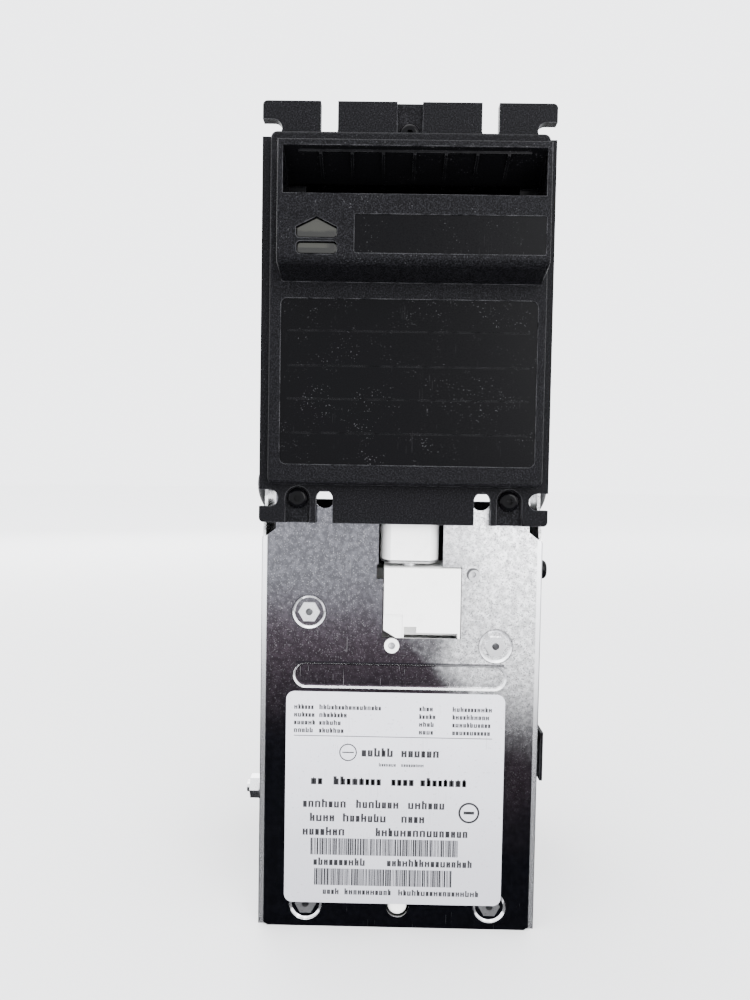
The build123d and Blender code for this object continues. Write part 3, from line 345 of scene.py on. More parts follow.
# ---------------------------------------------------------------- finishes
def moulded_plastic(name, polished=None):
    """Textured black moulding. polished(finish) gives a mask of its smooth areas."""
    f = Finish(name)
    black = tuple(colours().moulding)
    grain = f.noise(sizes().grain, 2.0)
    pits = f.noise(sizes().grain * 0.5, 1.0)
    texture = f.smooth(grain * 0.7 + pits * 0.3, 0.44, 0.66)
    gloss = polished(f) if polished else f.smooth(f.noise(30 * MM), 0.70, 0.90)
    dust = f.smooth(f.noise(0.45 * MM, 0.0), 0.755, 0.80) * f.smooth(f.noise(9 * MM), 0.45, 0.62)
    lines = f.scratches(9 * MM, 0.5) + f.scratches(7 * MM, -0.9)
    # Painted highlight: the outer edges are lightened in patches, standing in for the light that
    # the rounded rims catch.
    edge_highlight = f.outer_edge_mask(0.45 * MM) * f.smooth(f.noise(4 * MM, 2.0), 0.30, 0.60)
    # Painted sparkle: the textured grain is painted 5.5 times lighter than the black, in place of
    # the glints its specular would give.
    base = f.blend(texture * (1 - gloss), black, scaled(black, 5.5))
    base = f.blend(lines * 0.04 + dust * 0.15, base, (0.16, 0.16, 0.17))
    base = f.blend(edge_highlight * (0.7 - gloss * 0.55), base, (0.075, 0.075, 0.080))
    rough = 0.46 - texture * 0.12 - gloss * 0.14 + lines * 0.1
    height = texture * (1 - gloss) + f.noise(6 * MM) * 0.15
    bumped = f.bump(height - lines * 0.12, 0.05 * MM, strength=0.55)
    return f.shade(base, rough, normal=bumped, specular_ior_level=0.025)


def bezel_polish(f):
    """The bezel's two smooth panels and its throat."""
    return f.inside(*LOWER_PANEL) + f.inside(*UPPER_PANEL) + f.inside(*THROAT)


def pressed_edges(f, base, bright):
    """Painted highlight on the walls where the rib and the dimples are pressed into the plate, and
    painted shade as thin dark rings round the dimples and a dark band above the rib.
    """
    shallow, deep = PRESSED_DEPTH
    walls = f.within(f.y, PLATE_Y + shallow, PLATE_Y + deep)
    base = f.blend(walls * 0.8, base, bright)
    on_face = f.y < PLATE_Y + 0.4 * MM
    low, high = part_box("clinch_standoffs")
    for x in (low.x + STANDOFF_REACH, high.x - STANDOFF_REACH):
        for z in (UPPER_DIMPLES_Z[x > 0], low.z + STANDOFF_REACH):
            away = abs(f.distance_xz(x, z) - DIMPLE_EDGE_R)
            # Painted shade: a thin dark ring at each dimple's edge.
            line = on_face * (1 - f.smooth(away, 0.10 * MM, 0.28 * MM))
            base = f.blend(line * 0.6, base, (0.03, 0.03, 0.035))
    shade = f.within(f.z, *ABOVE_RIB) * (abs(f.x) < RIB_HALF) * on_face
    return f.blend(shade * 0.75, base, (0.02, 0.02, 0.025))


def fold_reflections(f, base):
    """Painted reflection on the folds down both sides of the plate: a white painted highlight on
    each, with a thin painted dark line at its outer edge.
    """
    near_front = f.y < PLATE_Y + 1.8 * MM
    fold_highlight = near_front * f.smooth(abs(f.x), PLATE_HALF - 2.0 * MM, PLATE_HALF - 1.7 * MM)
    fold_shade = near_front * f.smooth(abs(f.x), PLATE_HALF - 0.5 * MM, PLATE_HALF - 0.2 * MM)
    base = f.blend(fold_highlight, base, (0.95, 0.95, 0.97))
    return f.blend(fold_shade * 0.85, base, (0.05, 0.05, 0.055))


def zinc_plate(name):
    """Zinc-plated sheet whose front carries a painted reflection: pale and speckled at the upper
    right, plum and then dark below.
    """
    f = Finish(name)
    tones = ("zinc_light", "zinc_grey", "zinc_plum", "zinc_dark_reflection")
    light, grey, plum, dark = (tuple(getattr(colours(), tone)) for tone in tones)
    fine = f.noise(sizes().speckle, 1.5)
    coarse = f.noise(1.5 * MM, 2.0)
    clouds = f.noise(24 * MM, 3.0, warp=0.8)
    drift = (clouds - 0.5) * 30 * MM
    side = f.smooth(f.x + drift, -4 * MM, 32 * MM)
    height = f.z + drift * 0.7 + side * 36 * MM
    above_dark_reflection = f.smooth(height, -150 * MM, -114 * MM)
    above_plum = f.smooth(height, -112 * MM, -82 * MM)
    pale = side * f.smooth(height, -112 * MM, -78 * MM)
    # Painted reflection: the front grades from grey through plum to dark towards the foot, and
    # turns pale at the upper right.
    tint = f.blend(above_plum, f.blend(above_dark_reflection, dark, plum), grey)
    tint = f.blend(pale, tint, light)
    front = f.within(f.y, PLATE_Y - 0.5 * MM, PLATE_Y + 2.3 * MM)
    front = front * (abs(f.x) < PLATE_HALF - 1.4 * MM) * (f.z < TONGUE_TOP)
    walls = f.blend(f.smooth(clouds, 0.40, 0.60), scaled(light, 0.45), light)
    base = f.blend(front, walls, tint)
    shine = f.blend(f.smooth(coarse, 0.35, 0.70), (0.72, 0.72, 0.72), (1.25, 1.25, 1.25))
    base = f.tinted(base, shine)
    pits = 1 - f.smooth(fine, 0.34, 0.46)
    flecks = f.smooth(fine, 0.58, 0.74)
    base = f.blend(pits * (0.14 + pale * 0.62), base, scaled(grey, 0.8))
    base = f.blend(flecks * (0.02 + above_dark_reflection * 0.12 + pale * 0.3), base, scaled(light, 1.25))
    lines = f.scratches(16 * MM, 0.15) + f.scratches(12 * MM, 1.2)
    base = f.blend(lines * (0.10 + above_dark_reflection * 0.18), base, light)
    base = fold_reflections(f, pressed_edges(f, base, scaled(light, 1.3)))
    rough = 0.17 + above_dark_reflection * 0.06 + pale * 0.12 + lines * 0.15
    bumped = f.bump(fine + coarse * 0.6 - lines * 0.4, 0.02 * MM, strength=0.30)
    return f.shade(base, rough, metallic=0.95, normal=bumped)


def bright_metal(name, tone=1.0, rough=0.26, lay=(1, 1, 1)):
    """Plated or ground steel; lay draws its fine marks out along an axis."""
    f = Finish(name)
    steel = scaled(colours().steel, tone)
    marks = f.noise(0.25 * MM, 2.0, lay)
    stains = f.smooth(f.noise(7 * MM, 3.0), 0.40, 0.75)
    base = f.blend(marks * 0.30, steel, scaled(steel, 1.4))
    base = f.blend(stains * 0.35, base, scaled(steel, 0.62))
    bumped = f.bump(marks, 0.012 * MM, strength=0.5)
    return f.shade(base, rough + marks * 0.10 + stains * 0.08, metallic=1.0, normal=bumped)


def gearbox_fixing_metal(name):
    """Rivet with a dark rolled rim at the upper right; pale peg round a pin at the lower left."""
    f = Finish(name)
    low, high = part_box("gearbox_fixings")
    upper = f.z > (low.z + high.z) / 2
    from_rivet = f.distance_xz(high.x - RIVET_R * 0.8, high.z - RIVET_R * 1.2)
    from_peg = f.distance_xz(low.x + PEG_R, low.z + PEG_R)
    rim = upper * f.smooth(from_rivet, 0.85 * RIVET_R, 0.95 * RIVET_R)
    ring = (1 - upper) * f.smooth(from_peg, 0.44 * PEG_R, 0.52 * PEG_R)
    steel = tuple(colours().steel)
    marks = f.noise(0.5 * MM, 2.0)
    base = f.blend(marks * 0.4, scaled(steel, 0.8), steel)
    base = f.blend(rim * 0.9, base, (0.03, 0.03, 0.032))
    base = f.blend(ring, base, (0.80, 0.80, 0.78))
    bumped = f.bump(marks, 0.02 * MM, strength=0.4)
    return f.shade(base, 0.26 + marks * 0.15, metallic=1 - ring, normal=bumped)


def black_oxide(name):
    f = Finish(name)
    wear = f.smooth(f.noise(1.6 * MM, 3.0), 0.60, 0.78)
    base = f.blend(wear * 0.25, (0.0015, 0.0015, 0.0018), (0.03, 0.03, 0.033))
    bumped = f.bump(f.noise(0.5 * MM), 0.01 * MM, strength=0.3)
    return f.shade(base, 0.10 + wear * 0.12, normal=bumped, specular_ior_level=0.05)


def white_plastic(name, tone=1.0):
    f = Finish(name)
    nylon = scaled(colours().nylon, tone)
    cloud = f.noise(5 * MM, 3.0)
    dirt = f.smooth(f.noise(0.6 * MM, 1.0), 0.70, 0.80) * 0.25
    base = f.blend(f.smooth(cloud, 0.45, 0.75) * 0.25, nylon, scaled(nylon, 0.82))
    base = f.blend(dirt, base, (0.35, 0.34, 0.31))
    bumped = f.bump(f.noise(0.8 * MM) + cloud * 0.6, 0.03 * MM, strength=0.35)
    return f.shade(base, 0.38 + cloud * 0.12, normal=bumped, specular_ior_level=0.5)


def motor_can(name, along_z):
    """Motor can along Z or X: between its rolled steel ends it is painted pale satin white, a
    painted reflection of the bright can.
    """
    f = Finish(name)
    low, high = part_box("stacker_motor" if along_z else "transport_motor")
    axis, ends = (f.z, (low.z, high.z)) if along_z else (f.x, (low.x, high.x))
    # Painted reflection: the band between the steel ends is pale and not metallic, standing in for
    # the can's bright reflection.
    pale_band = f.within(axis, ends[0] + 2.4 * MM, ends[1] - 3.0 * MM)
    band_mottle = f.noise(3 * MM, 2.0)
    steel = f.blend(f.noise(0.4 * MM), scaled(colours().steel, 0.8), scaled(colours().steel, 1.3))
    reflection_white = f.blend(f.smooth(band_mottle, 0.5, 0.8) * 0.25, (0.86, 0.86, 0.85), (0.62, 0.62, 0.60))
    base = f.blend(pale_band, steel, reflection_white)
    bumped = f.bump(band_mottle * 0.5 + pale_band, 0.05 * MM, strength=0.4)
    return f.shade(base, 0.28 + pale_band * 0.24, metallic=1 - pale_band, normal=bumped)


def label_film(name):
    f = Finish(name)
    film = tuple(colours().film)
    shine = f.smooth(f.z + (f.noise(18 * MM) - 0.5) * 20 * MM, -190 * MM, -128 * MM)
    base = f.blend(shine * 0.8, film, scaled(film, 1.5))
    lines = f.scratches(18 * MM, 0.6, 0.66) + f.scratches(10 * MM, -0.35, 0.68)
    specks = f.smooth(f.noise(0.7 * MM, 0.0), 0.76, 0.80)
    base = f.blend(lines * 0.30 + specks * 0.5, base, (0.22, 0.22, 0.24))
    bumped = f.bump(f.noise(4 * MM) - lines * 0.3, 0.02 * MM, strength=0.4)
    return f.shade(base, 0.30 + lines * 0.2, normal=bumped, specular_ior_level=0.5)


def printed_ink(name):
    f = Finish(name)
    thin = f.smooth(f.noise(0.5 * MM, 2.0), 0.55, 0.85)
    base = f.blend(thin * 0.25, tuple(colours().ink), (0.16, 0.16, 0.17))
    bumped = f.bump(thin, 0.004 * MM, strength=0.3)
    return f.shade(base, 0.36 + thin * 0.2, normal=bumped)


def smoke_window(name):
    """Tinted window with painted light and shade: palest in the upper half and along the bar,
    painted shade on the lower half of its curved face, and a painted highlight on the edge at its
    right end.
    """
    f = Finish(name)
    smoke = tuple(colours().smoke)
    sag = f.noise(3 * MM) * 1.2 * MM
    lit_upper_half = f.smooth(f.z + sag, 22.0 * MM, 23.0 * MM)
    bar = f.within(f.z, 16.9 * MM, 18.9 * MM) * f.smooth(f.x * -1, 23.5 * MM, 26 * MM)
    # Painted highlight: a bright edge at the window's right end.
    rim = f.smooth(f.x, -22.6 * MM, -22.0 * MM)
    # Painted shade: the window is 0.3 times the smoke colour except in its lit upper half and along
    # the bar.
    base = f.blend(lit_upper_half + bar, scaled(smoke, 0.3), scaled(smoke, 1.1))
    base = f.blend(rim * 0.5, base, (0.20, 0.20, 0.18))
    bumped = f.bump(f.noise(0.8 * MM), 0.02 * MM, strength=0.4)
    return f.shade(base, 0.16 + f.noise(1 * MM) * 0.1, normal=bumped, specular_ior_level=0.25)


def circuit_board(name, node, thickness):
    """Green resist with traces and pads; what stands off the board is black or tinned."""
    f = Finish(name)
    low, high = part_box(node)
    face = high.y - thickness if node == "led_board" else low.y
    on_board = f.within(f.y, face - 0.05 * MM, face + thickness + 0.05 * MM)
    cells = f.node(
        "ShaderNodeTexVoronoi",
        {"distance": "MANHATTAN", "feature": "F1"},
        {"Vector": f.place, "Scale": 420.0},
    )
    traces = f.smooth(cells, 0.46, 0.52)
    pads = f.smooth(f.noise(1.1 * MM, 0.0), 0.70, 0.73)
    resist = tuple(colours().resist)
    green = f.blend(traces * 0.7, resist, scaled(resist, 2.2))
    green = f.blend(pads, green, (0.70, 0.68, 0.60))
    tinned = f.smooth(f.noise(9 * MM, 0.0), 0.58, 0.60)
    chips = f.blend(tinned, (0.012, 0.012, 0.013), (0.55, 0.53, 0.46))
    base = f.blend(on_board, chips, green)
    bumped = f.bump(traces + pads, 0.03 * MM, strength=0.5)
    return f.shade(base, 0.34 + traces * 0.08, metallic=pads * on_board, normal=bumped)


def rubber(name, ribs_along=None):
    """Matt rubber; ribs_along names the axis that a toothed belt runs along."""
    f = Finish(name)
    dark = tuple(colours().rubber)
    dust = f.smooth(f.noise(2.5 * MM, 3.0), 0.45, 0.75)
    base = f.blend(dust * 0.35, dark, (0.075, 0.073, 0.070))
    height = f.noise(0.35 * MM)
    if ribs_along:
        tooth_pitch = 2.0 * MM
        axis = getattr(f, ribs_along)
        teeth = (axis * (2 * math.pi / tooth_pitch)).maths("SINE")
        height = height * 0.3 + f.smooth(teeth, -0.3, 0.3)
    return f.shade(base, 0.72 + dust * 0.12, normal=f.bump(height, 0.08 * MM, strength=0.6))


def connector_plastic(name):
    """Black shell; the pins in its cavity are gold plated."""
    f = Finish(name)
    low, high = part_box("interface_socket")
    wall = 1.6 * MM
    inside = f.within(f.x, low.x + wall, high.x - wall)
    inside = inside * f.within(f.z, low.z + wall, high.z - wall)
    pins = inside * f.within(f.y, high.y - 6.5 * MM, high.y - 0.4 * MM)
    grain = f.noise(0.5 * MM)
    shell = f.blend(grain * 0.4, (0.012, 0.012, 0.013), (0.03, 0.03, 0.03))
    base = f.blend(pins, shell, (0.80, 0.55, 0.18))
    bumped = f.bump(grain, 0.02 * MM, strength=0.4)
    return f.shade(base, 0.42 - pins * 0.18, metallic=pins, normal=bumped)


def studio_floor(name):
    """Pale floor that grows paler towards its edge, so that it runs into the room."""
    f = Finish(name)
    pale = tuple(colours().floor)
    far = f.smooth(f.from_origin(), 0.35, 1.8)
    near = f.blend(f.noise(60 * MM, 2.0) * 0.25, pale, scaled(pale, 0.96))
    base = f.blend(far, near, (0.96, 0.96, 0.96))
    return f.shade(base, 0.7, specular_ior_level=0.2)


def dark_cloth(name):
    """A dark sheet for a painted dark reflection: black at the middle and grey at the rim; only
    what is glossy sees it under the floor.
    """
    f = Finish(name)
    rim = f.smooth(f.from_origin() + f.noise(90 * MM) * 80 * MM, 0.30, 0.74)
    base = f.blend(rim, (0.004, 0.004, 0.006), (0.40, 0.40, 0.42))
    return f.shade(base, 0.9)


# ---------------------------------------------------------------- mesh helpers
def dress(material, *names):
    """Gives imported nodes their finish."""
    for name in names:
        slots = NODES[name].data.materials
        slots.clear()
        slots.append(material)


def piece(name, points, faces, material, body):
    """A new mesh that rides on a body."""
    mesh = bpy.data.meshes.new(name)
    mesh.from_pydata([tuple(p) for p in points], [], faces)
    mesh.validate()
    mesh.materials.append(material)
    made = bpy.data.objects.new(name, mesh)
    bpy.context.scene.collection.objects.link(made)
    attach(made, body)
    return made


def smooth(made):
    for polygon in made.data.polygons:
        polygon.use_smooth = True


def soften(width, *names):
    """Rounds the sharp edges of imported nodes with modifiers, which leave their meshes alone."""
    sharp = math.radians(50)
    for name in names:
        made = NODES[name]
        weld = made.modifiers.new("weld", "WELD")
        weld.merge_threshold = 0.002 * MM
        flat = made.modifiers.new("flat_faces", "DECIMATE")
        flat.decimate_type = "DISSOLVE"
        flat.angle_limit = math.radians(1.0)
        bevel = made.modifiers.new("edges", "BEVEL")
        bevel.width = width
        bevel.segments = 2
        bevel.limit_method = "ANGLE"
        bevel.angle_limit = sharp
        bevel.use_clamp_overlap = True
        split = made.modifiers.new("hard_edges", "EDGE_SPLIT")
        split.split_angle = sharp
        made.modifiers.new("weighted", "WEIGHTED_NORMAL")


def tube(path, radius, sides=10):
    """Points and faces of a closed round tube along a path of Vectors."""
    points, faces = [], []
    side = Vector((0, 0, 1))
    for index, here in enumerate(path):
        ahead = path[min(index + 1, len(path) - 1)] - path[max(index - 1, 0)]
        ahead.normalize()
        side = (side - ahead * side.dot(ahead)).normalized()
        up = ahead.cross(side)
        for step in range(sides):
            angle = 2 * math.pi * step / sides
            points.append(here + (side * math.cos(angle) + up * math.sin(angle)) * radius)
    for ring in range(len(path) - 1):
        for step in range(sides):
            after = (step + 1) % sides
            low, high = ring * sides, (ring + 1) * sides
            faces.append((low + step, low + after, high + after, high + step))
    faces.append(tuple(reversed(range(sides))))
    faces.append(tuple(range(len(points) - sides, len(points))))
    return points, faces


def coil_path(start, axis, across, reach, radius, wire, turns):
    """Centreline of a compression spring with a closed turn at each end."""
    other = axis.cross(across)
    steps_a_turn = 28
    steps = steps_a_turn * turns
    path = []
    for step in range(steps + 1):
        share = step / steps
        turn = share * turns
        closed = min(turn, 1.0) + max(0.0, turn - (turns - 1))
        open_share = min(max((turn - 1) / (turns - 2), 0.0), 1.0)
        along = closed * wire + open_share * (reach - 3 * wire)
        angle = 2 * math.pi * turn
        round_axis = across * math.cos(angle) + other * math.sin(angle)
        path.append(start + axis * (along + wire / 2) + round_axis * radius)
    return path


def joined(parts):
    """One list of points and faces from several."""
    points, faces = [], []
    for more_points, more_faces in parts:
        first = len(points)
        points += more_points
        faces += [tuple(first + index for index in face) for face in more_faces]
    return points, faces


# ---------------------------------------------------------------- printed label
class Print:
    """Flat ink shapes on the label's face, in millimetres from the studs' centre."""

    def __init__(self, face_y, lift):
        self.back = face_y
        self.front = face_y - lift
        self.draw = random.Random(7)
        self.parts = []

    def bar(self, x0, x1, z0, z1):
        corners = [(x0, z0), (x1, z0), (x1, z1), (x0, z1)]
        points = [Vector((x * MM, self.front, z * MM)) for x, z in corners]
        points += [Vector((x * MM, self.back, z * MM)) for x, z in corners]
        sides = [(i, i + 4, (i + 1) % 4 + 4, (i + 1) % 4) for i in range(4)]
        self.parts.append((points, [(0, 1, 2, 3), (7, 6, 5, 4), *sides]))

    def ring(self, x, z, outer, inner, sides=24):
        for step in range(sides):
            first, last = (2 * math.pi * (step + end) / sides for end in (0, 1))
            flat = [(outer, first), (outer, last), (inner, last), (inner, first)]
            corners = [(x + r * math.cos(a), z + r * math.sin(a)) for r, a in flat]
            points = [Vector((px * MM, self.front, pz * MM)) for px, pz in corners]
            self.parts.append((points, [(0, 1, 2, 3)]))

    def row(self, z, height, *words, weight):
        """A line of filler marks: words are (start, end), and each mark is two joined stems."""
        stem = height * weight
        foot = z - height / 2
        short = 0.74
        for start, end in words:
            x = start
            while x + height * 0.62 < end:
                tall = height * self.draw.choice((1.0, short, short, short))
                wide = height * self.draw.uniform(0.44, 0.66)
                self.bar(x, x + stem, foot, foot + tall)
                self.bar(x + wide - stem, x + wide, foot, foot + height * short)
                level = foot + self.draw.choice((0.0, 0.36, 0.62)) * height
                self.bar(x + stem, x + wide - stem, level, level + stem * 0.7)
                x += wide + height * 0.17

    def barcode(self, x0, x1, z0, z1):
        """Random bars that carry no code."""
        x = x0
        while x < x1 - 0.6:
            wide = self.draw.choice((0.22, 0.22, 0.40, 0.58))
            self.bar(x, x + wide, z0, z1)
            x += wide + self.draw.choice((0.14, 0.14, 0.28))


def label_print():
    """Header block, rule, plain emblem, title, ratings and two barcodes."""
    low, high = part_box("label")
    page = Print(low.y, sizes().print_lift)
    left, right = low.x / MM + 2.7, high.x / MM - 4.1
    top = high.z / MM
    plain, firm, heavy = 0.24, 0.26, 0.37
    line_pitch = 2.65
    for index, ends in enumerate((-5.5, -17.5, -18.5, -17.8)):
        z = top - 5.2 - line_pitch * index
        page.row(z, 1.7, (left, left + 7.5), (left + 8.5, ends), weight=firm)
        page.row(z, 1.7, (6.8, 12.6), (18.0, right), weight=firm)
    page.bar(left, right, top - 15.2, top - 14.95)
    page.ring(-17.0, top - 20.6, 3.0, 2.6)
    page.bar(-19.0, -15.0, top - 20.8, top - 20.4)
    page.row(top - 20.4, 3.0, (-12.4, -0.5), (1.0, 16.0), weight=firm)
    page.row(top - 24.6, 1.2, (-6.5, 0.0), (1.0, 9.3), weight=plain)
    page.row(top - 30.3, 2.9, (-29.4, -23.6), (-21.8, -4.0), (-2.2, 5.6), (7.6, 24.5), weight=heavy)
    page.row(top - 38.2, 2.9, (-32.0, -16.2), (-14.0, 1.4), (3.6, 17.0), weight=plain)
    page.row(top - 43.0, 2.9, (-29.6, -20.0), (-18.4, -3.2), (1.4, 11.4), weight=plain)
    page.row(top - 47.8, 2.9, (-32.0, -16.4), (-7.2, 26.0), weight=plain)
    page.ring(24.2, top - 40.6, 3.6, 2.9)
    page.bar(22.4, 26.0, top - 41.1, top - 40.1)
    page.barcode(-29.3, 21.2, top - 56.0, top - 50.2)
    page.row(top - 58.3, 2.6, (-28.2, -9.6), (-3.2, 26.6), weight=plain)
    page.barcode(-27.9, 19.0, top - 66.5, top - 60.7)
    page.row(top - 68.6, 2.1, (-24.9, -19.0), (-17.5, -1.0), (0.8, 28.6), weight=plain)
    points, faces = joined(page.parts)
    return piece("label_print", points, faces, printed_ink("label_ink"), "chassis")


# ---------------------------------------------------------------- coil springs
def cassette_springs():
    """The two note springs, at their full length."""
    low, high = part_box("pressure_springs")
    reach = high.y - low.y
    outer = (high.x - low.x) / 2
    wire = sizes().wire
    centre_x = (low.x + high.x) / 2
    axis, across = Vector((0, 1, 0)), Vector((1, 0, 0))
    coils = []
    for centre_z in (low.z + outer, high.z - outer):
        start = Vector((centre_x, low.y, centre_z))
        path = coil_path(start, axis, across, reach, outer - wire / 2, wire, sizes().turns)
        coils.append(tube(path, wire / 2))
    points, faces = joined(coils)
    steel = bright_metal("spring_wire", 0.9, 0.24)
    made = piece("note_springs", points, faces, steel, "cassette")
    smooth(made)
    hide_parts("pressure_springs")
    travel = next(j for j in frame["joints"] if j["name"] == "pressure_plate_slide")["range_m"]
    keep = 1 - max(travel) / reach
    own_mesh(made)


def latch_coil():
    """The small spring between the latch and the side wall."""
    low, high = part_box("latch_spring")
    wire = sizes().latch_wire
    outer = (high.z - low.z) / 2
    start = Vector((low.x, (low.y + high.y) / 2, (low.z + high.z) / 2))
    axis, across = Vector((1, 0, 0)), Vector((0, 1, 0))
    turns, sides = 5, 8
    path = coil_path(start, axis, across, high.x - low.x, outer - wire / 2, wire, turns)
    points, faces = tube(path, wire / 2, sides)
    steel = bright_metal("latch_wire", 0.9, 0.24)
    made = piece("latch_coil", points, faces, steel, "chassis")
    smooth(made)
    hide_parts("latch_spring")
    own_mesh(made)


# ---------------------------------------------------------------- stage
def add_light(name, place, target, size, power):
    data = bpy.data.lights.new(name, "AREA")
    data.shape = "RECTANGLE"
    data.size, data.size_y = size
    data.energy = power
    made = bpy.data.objects.new(name, data)
    bpy.context.scene.collection.objects.link(made)
    made.location = place
    aim = Vector(target) - Vector(place)
    made.rotation_euler = aim.to_track_quat("-Z", "Y").to_euler()


def disc(name, radius, z, material, sides=96):
    """A round sheet whose rings let light grade over it."""
    points = [(0, 0, z)]
    faces = []
    rings = (0.25, 0.5, 1.0)
    for share in rings:
        for step in range(sides):
            angle = 2 * math.pi * step / sides
            points.append((radius * share * math.cos(angle), radius * share * math.sin(angle), z))
    for step in range(sides):
        after = (step + 1) % sides
        faces.append((0, 1 + step, 1 + after))
        for ring in range(len(rings) - 1):
            low, high = 1 + ring * sides, 1 + (ring + 1) * sides
            faces.append((low + step, high + step, high + after, low + after))
    mesh = bpy.data.meshes.new(name)
    mesh.from_pydata(points, [], faces)
    mesh.materials.append(material)
    made = bpy.data.objects.new(name, mesh)
    bpy.context.scene.collection.objects.link(made)
    return made


def pale_room(strength):
    world = bpy.data.worlds.new("pale_room")
    bpy.context.scene.world = world
    world.use_nodes = True
    background = world.node_tree.nodes["Background"]
    background.inputs["Color"].default_value = (0.96, 0.97, 1.0, 1)
    background.inputs["Strength"].default_value = strength


def camera(stage):
    data = bpy.data.cameras.new("camera")
    data.lens = stage.lens
    data.sensor_width = 36.0
    data.clip_start = 0.01
    made = bpy.data.objects.new("camera", data)
    bpy.context.scene.collection.objects.link(made)
    aim = Matrix.Rotation(stage.yaw, 4, "Z") @ Matrix.Rotation(math.pi / 2 - stage.pitch, 4, "X")
    aim = aim @ Matrix.Rotation(stage.roll, 4, "Z")
    made.matrix_world = Matrix.Translation((stage.aside, -stage.distance, stage.height)) @ aim
    bpy.context.scene.camera = made


# ---------------------------------------------------------------- operators
class VALIDATOR_OT_mouldings(bpy.types.Operator):
    """Black mouldings: bezel, head guides, cassette and covers"""

    bl_idname = "validator.mouldings"
    bl_label = "Black mouldings"

    def execute(self, context):
        dress(moulded_plastic("bezel_plastic", bezel_polish), "bezel")
        shell = moulded_plastic("black_moulding")
        dress(shell, "head_inner_guide", "head_outer_guide", "mouth_upper_guide", "rear_cover")
        dress(shell, "cassette_body", "cassette_door", "door_knob", "bill_guide_frame")
        dress(shell, "head_latch", "cassette_latch", "side_caps")
        edge = sizes().edge
        soften(edge, "bezel", "rear_cover", "cassette_body", "cassette_door", "door_knob")
        soften(edge, "head_outer_guide", "head_inner_guide", "mouth_upper_guide")
        soften(edge, "cassette_latch", "head_latch")
        return {"FINISHED"}


class VALIDATOR_OT_sheet_metal(bpy.types.Operator):
    """Zinc-plated chassis and the clinched standoffs in it"""

    bl_idname = "validator.sheet_metal"
    bl_label = "Sheet metal"

    def execute(self, context):
        dress(zinc_plate("zinc_plate"), "chassis")
        dress(bright_metal("clinch_steel", 1.3, 0.24), "clinch_standoffs", "spring_bar")
        return {"FINISHED"}


class VALIDATOR_OT_fasteners(bpy.types.Operator):
    """Screws, nut, stud, pins and the locating peg"""

    bl_idname = "validator.fasteners"
    bl_label = "Fasteners"

    def execute(self, context):
        dress(black_oxide("black_oxide"), "bezel_screws", "side_screw")
        zinc = bright_metal("zinc_fasteners", 1.0, 0.22)
        dress(zinc, "ground_stud", "ground_washer", "ground_nut", "guide_screws")
        dress(zinc, "head_frame_screws", "latch_pin")
        dress(gearbox_fixing_metal("gearbox_fixing_metal"), "gearbox_fixings")
        dress(zinc, "head_hinge_pin", "cassette_hinge_pin")
        dress(white_plastic("peg_plastic", 0.9), "locating_peg")
        return {"FINISHED"}


class VALIDATOR_OT_stacker_drive(bpy.types.Operator):
    """Gearbox, motor, worm, pinions, belt and pusher"""

    bl_idname = "validator.stacker_drive"
    bl_label = "Stacker drive"

    def execute(self, context):
        white = white_plastic("gearbox_plastic")
        dress(white, "gearbox_housing", "gearbox_cover")
        dress(white_plastic("gear_plastic", 0.92), "worm_wheel", "upper_pinions", "lower_pinions")
        dress(white_plastic("pulley_plastic", 0.85), "upper_sync_pulley", "lower_sync_pulley")
        dress(white_plastic("pusher_plastic", 0.8), "pusher_plate", "pusher_racks")
        dress(white_plastic("bushing_plastic", 0.7), "shaft_bushings", "pressure_plate")
        dress(motor_can("stacker_motor_can", True), "stacker_motor")
        shaft = bright_metal("ground_shaft", 1.0, 0.18, TURNED_ALONG_X)
        dress(shaft, "upper_pinion_shaft", "lower_pinion_shaft")
        dress(bright_metal("worm_steel", 0.9, 0.2, (1, 1, 4)), "stacker_worm")
        dress(rubber("sync_belt_rubber", "z"), "sync_belt")
        soften(sizes().edge, "gearbox_housing", "gearbox_cover")
        return {"FINISHED"}


class VALIDATOR_OT_head_drive(bpy.types.Operator):
    """Transport motor, shafts, pulleys, belts and idlers in the head"""

    bl_idname = "validator.head_drive"
    bl_label = "Head drive"

    def execute(self, context):
        dress(motor_can("transport_motor_can", False), "transport_motor")
        shaft = bright_metal("drive_shaft_steel", 1.0, 0.18, TURNED_ALONG_X)
        dress(shaft, "upper_drive_shaft", "lower_drive_shaft", "transport_pinion")
        pulley = white_plastic("drive_pulley_plastic", 0.8)
        dress(pulley, "upper_drive_pulleys", "lower_drive_pulleys", "drive_gear")
        dress(rubber("drive_belt_rubber"), "drive_belts")
        dress(rubber("idler_rubber"), "upper_idler", "lower_idler")
        return {"FINISHED"}


class VALIDATOR_OT_electronics(bpy.types.Operator):
    """Lamp window, lamp board, control board and socket"""

    bl_idname = "validator.electronics"
    bl_label = "Electronics"

    def execute(self, context):
        dress(smoke_window("smoke_window"), "light_pipe")
        thickness = 1.6 * MM
        dress(circuit_board("lamp_board", "led_board", thickness), "led_board")
        dress(circuit_board("control_board", "control_board", thickness), "control_board")
        dress(connector_plastic("socket_plastic"), "interface_socket")
        return {"FINISHED"}


class VALIDATOR_OT_label(bpy.types.Operator):
    """Label film and its plain print"""

    bl_idname = "validator.label"
    bl_label = "Label"

    def execute(self, context):
        dress(label_film("label_polyester"), "label")
        label_print()
        return {"FINISHED"}


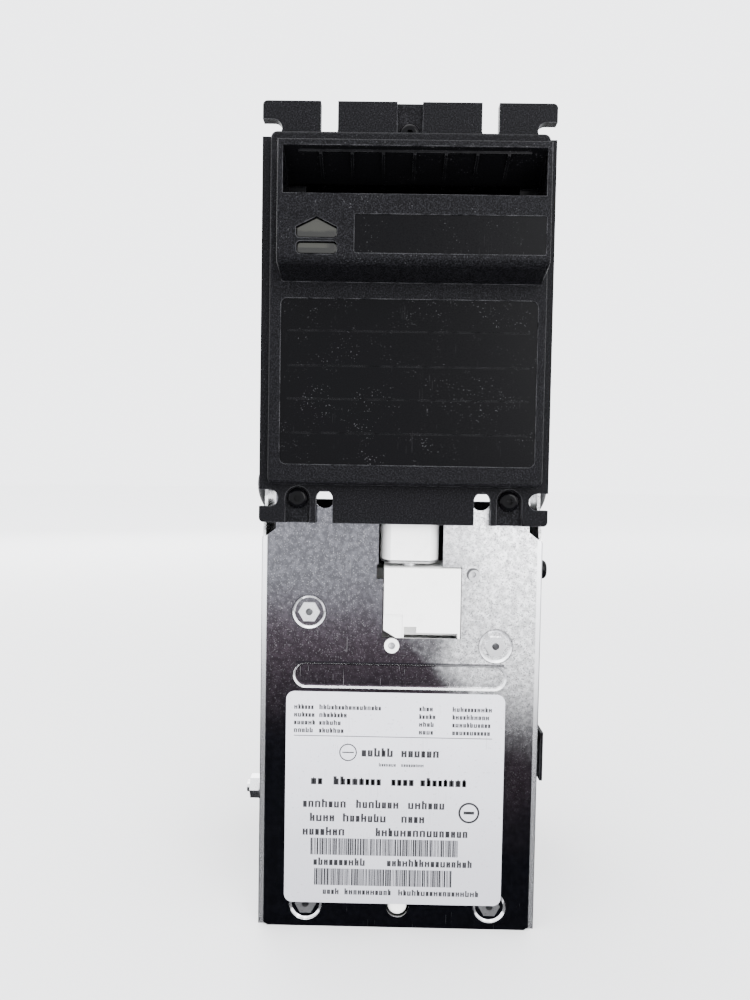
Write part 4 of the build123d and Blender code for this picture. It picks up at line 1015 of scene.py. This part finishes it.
class VALIDATOR_OT_springs(bpy.types.Operator):
    """Coiled springs of the cassette and the latch"""

    bl_idname = "validator.springs"
    bl_label = "Springs"

    def execute(self, context):
        cassette_springs()
        latch_coil()
        return {"FINISHED"}


class VALIDATOR_OT_stage(bpy.types.Operator):
    """Camera, floor, room and soft lights"""

    bl_idname = "validator.stage"
    bl_label = "Stage"

    def execute(self, context):
        stage = context.scene.validator_stage
        floor_z = CAD_BOX[0].z
        floor = disc("floor", FLOOR_R, floor_z, studio_floor("studio_floor"))
        # The floor is hidden from reflections, so that glossy parts reflect the dark sheet under
        # it.
        floor.visible_glossy = False
        disc("dark_cloth", REFLECTION_SHEET_R, floor_z - REFLECTION_SHEET_DROP, dark_cloth("dark_cloth"))
        pale_room(stage.room)
        camera(stage)
        for light in LIGHTS:
            add_light(*light)
        return {"FINISHED"}


class VALIDATOR_PT_panel(bpy.types.Panel):
    """Sidebar panel with each step and the values it uses"""

    bl_label = "Bill validator"
    bl_space_type = "VIEW_3D"
    bl_region_type = "UI"
    bl_category = "Validator"

    def draw(self, context):
        for step in STEPS:
            self.layout.operator(step.bl_idname)
        for owner in GROUPS:
            group = getattr(context.scene, owner)
            box = self.layout.box()
            for name in group.bl_rna.properties.keys():
                if name not in ("rna_type", "name"):
                    box.prop(group, name)


GROUPS = {
    "validator_colours": ValidatorColours,
    "validator_sizes": ValidatorSizes,
    "validator_stage": ValidatorStage,
}
STEPS = (
    VALIDATOR_OT_mouldings,
    VALIDATOR_OT_sheet_metal,
    VALIDATOR_OT_fasteners,
    VALIDATOR_OT_stacker_drive,
    VALIDATOR_OT_head_drive,
    VALIDATOR_OT_electronics,
    VALIDATOR_OT_label,
    VALIDATOR_OT_springs,
    VALIDATOR_OT_stage,
)


def register():
    for group in (*GROUPS.values(), *STEPS, VALIDATOR_PT_panel):
        bpy.utils.register_class(group)
    for name, group in GROUPS.items():
        setattr(bpy.types.Scene, name, PointerProperty(type=group))


def unregister():
    for name in GROUPS:
        delattr(bpy.types.Scene, name)
    for group in (VALIDATOR_PT_panel, *reversed(STEPS), *GROUPS.values()):
        bpy.utils.unregister_class(group)


def main():
    register()
    for step in STEPS:
        family, name = step.bl_idname.split(".")
        getattr(getattr(bpy.ops, family), name)()


if __name__ == "__main__":
    main()
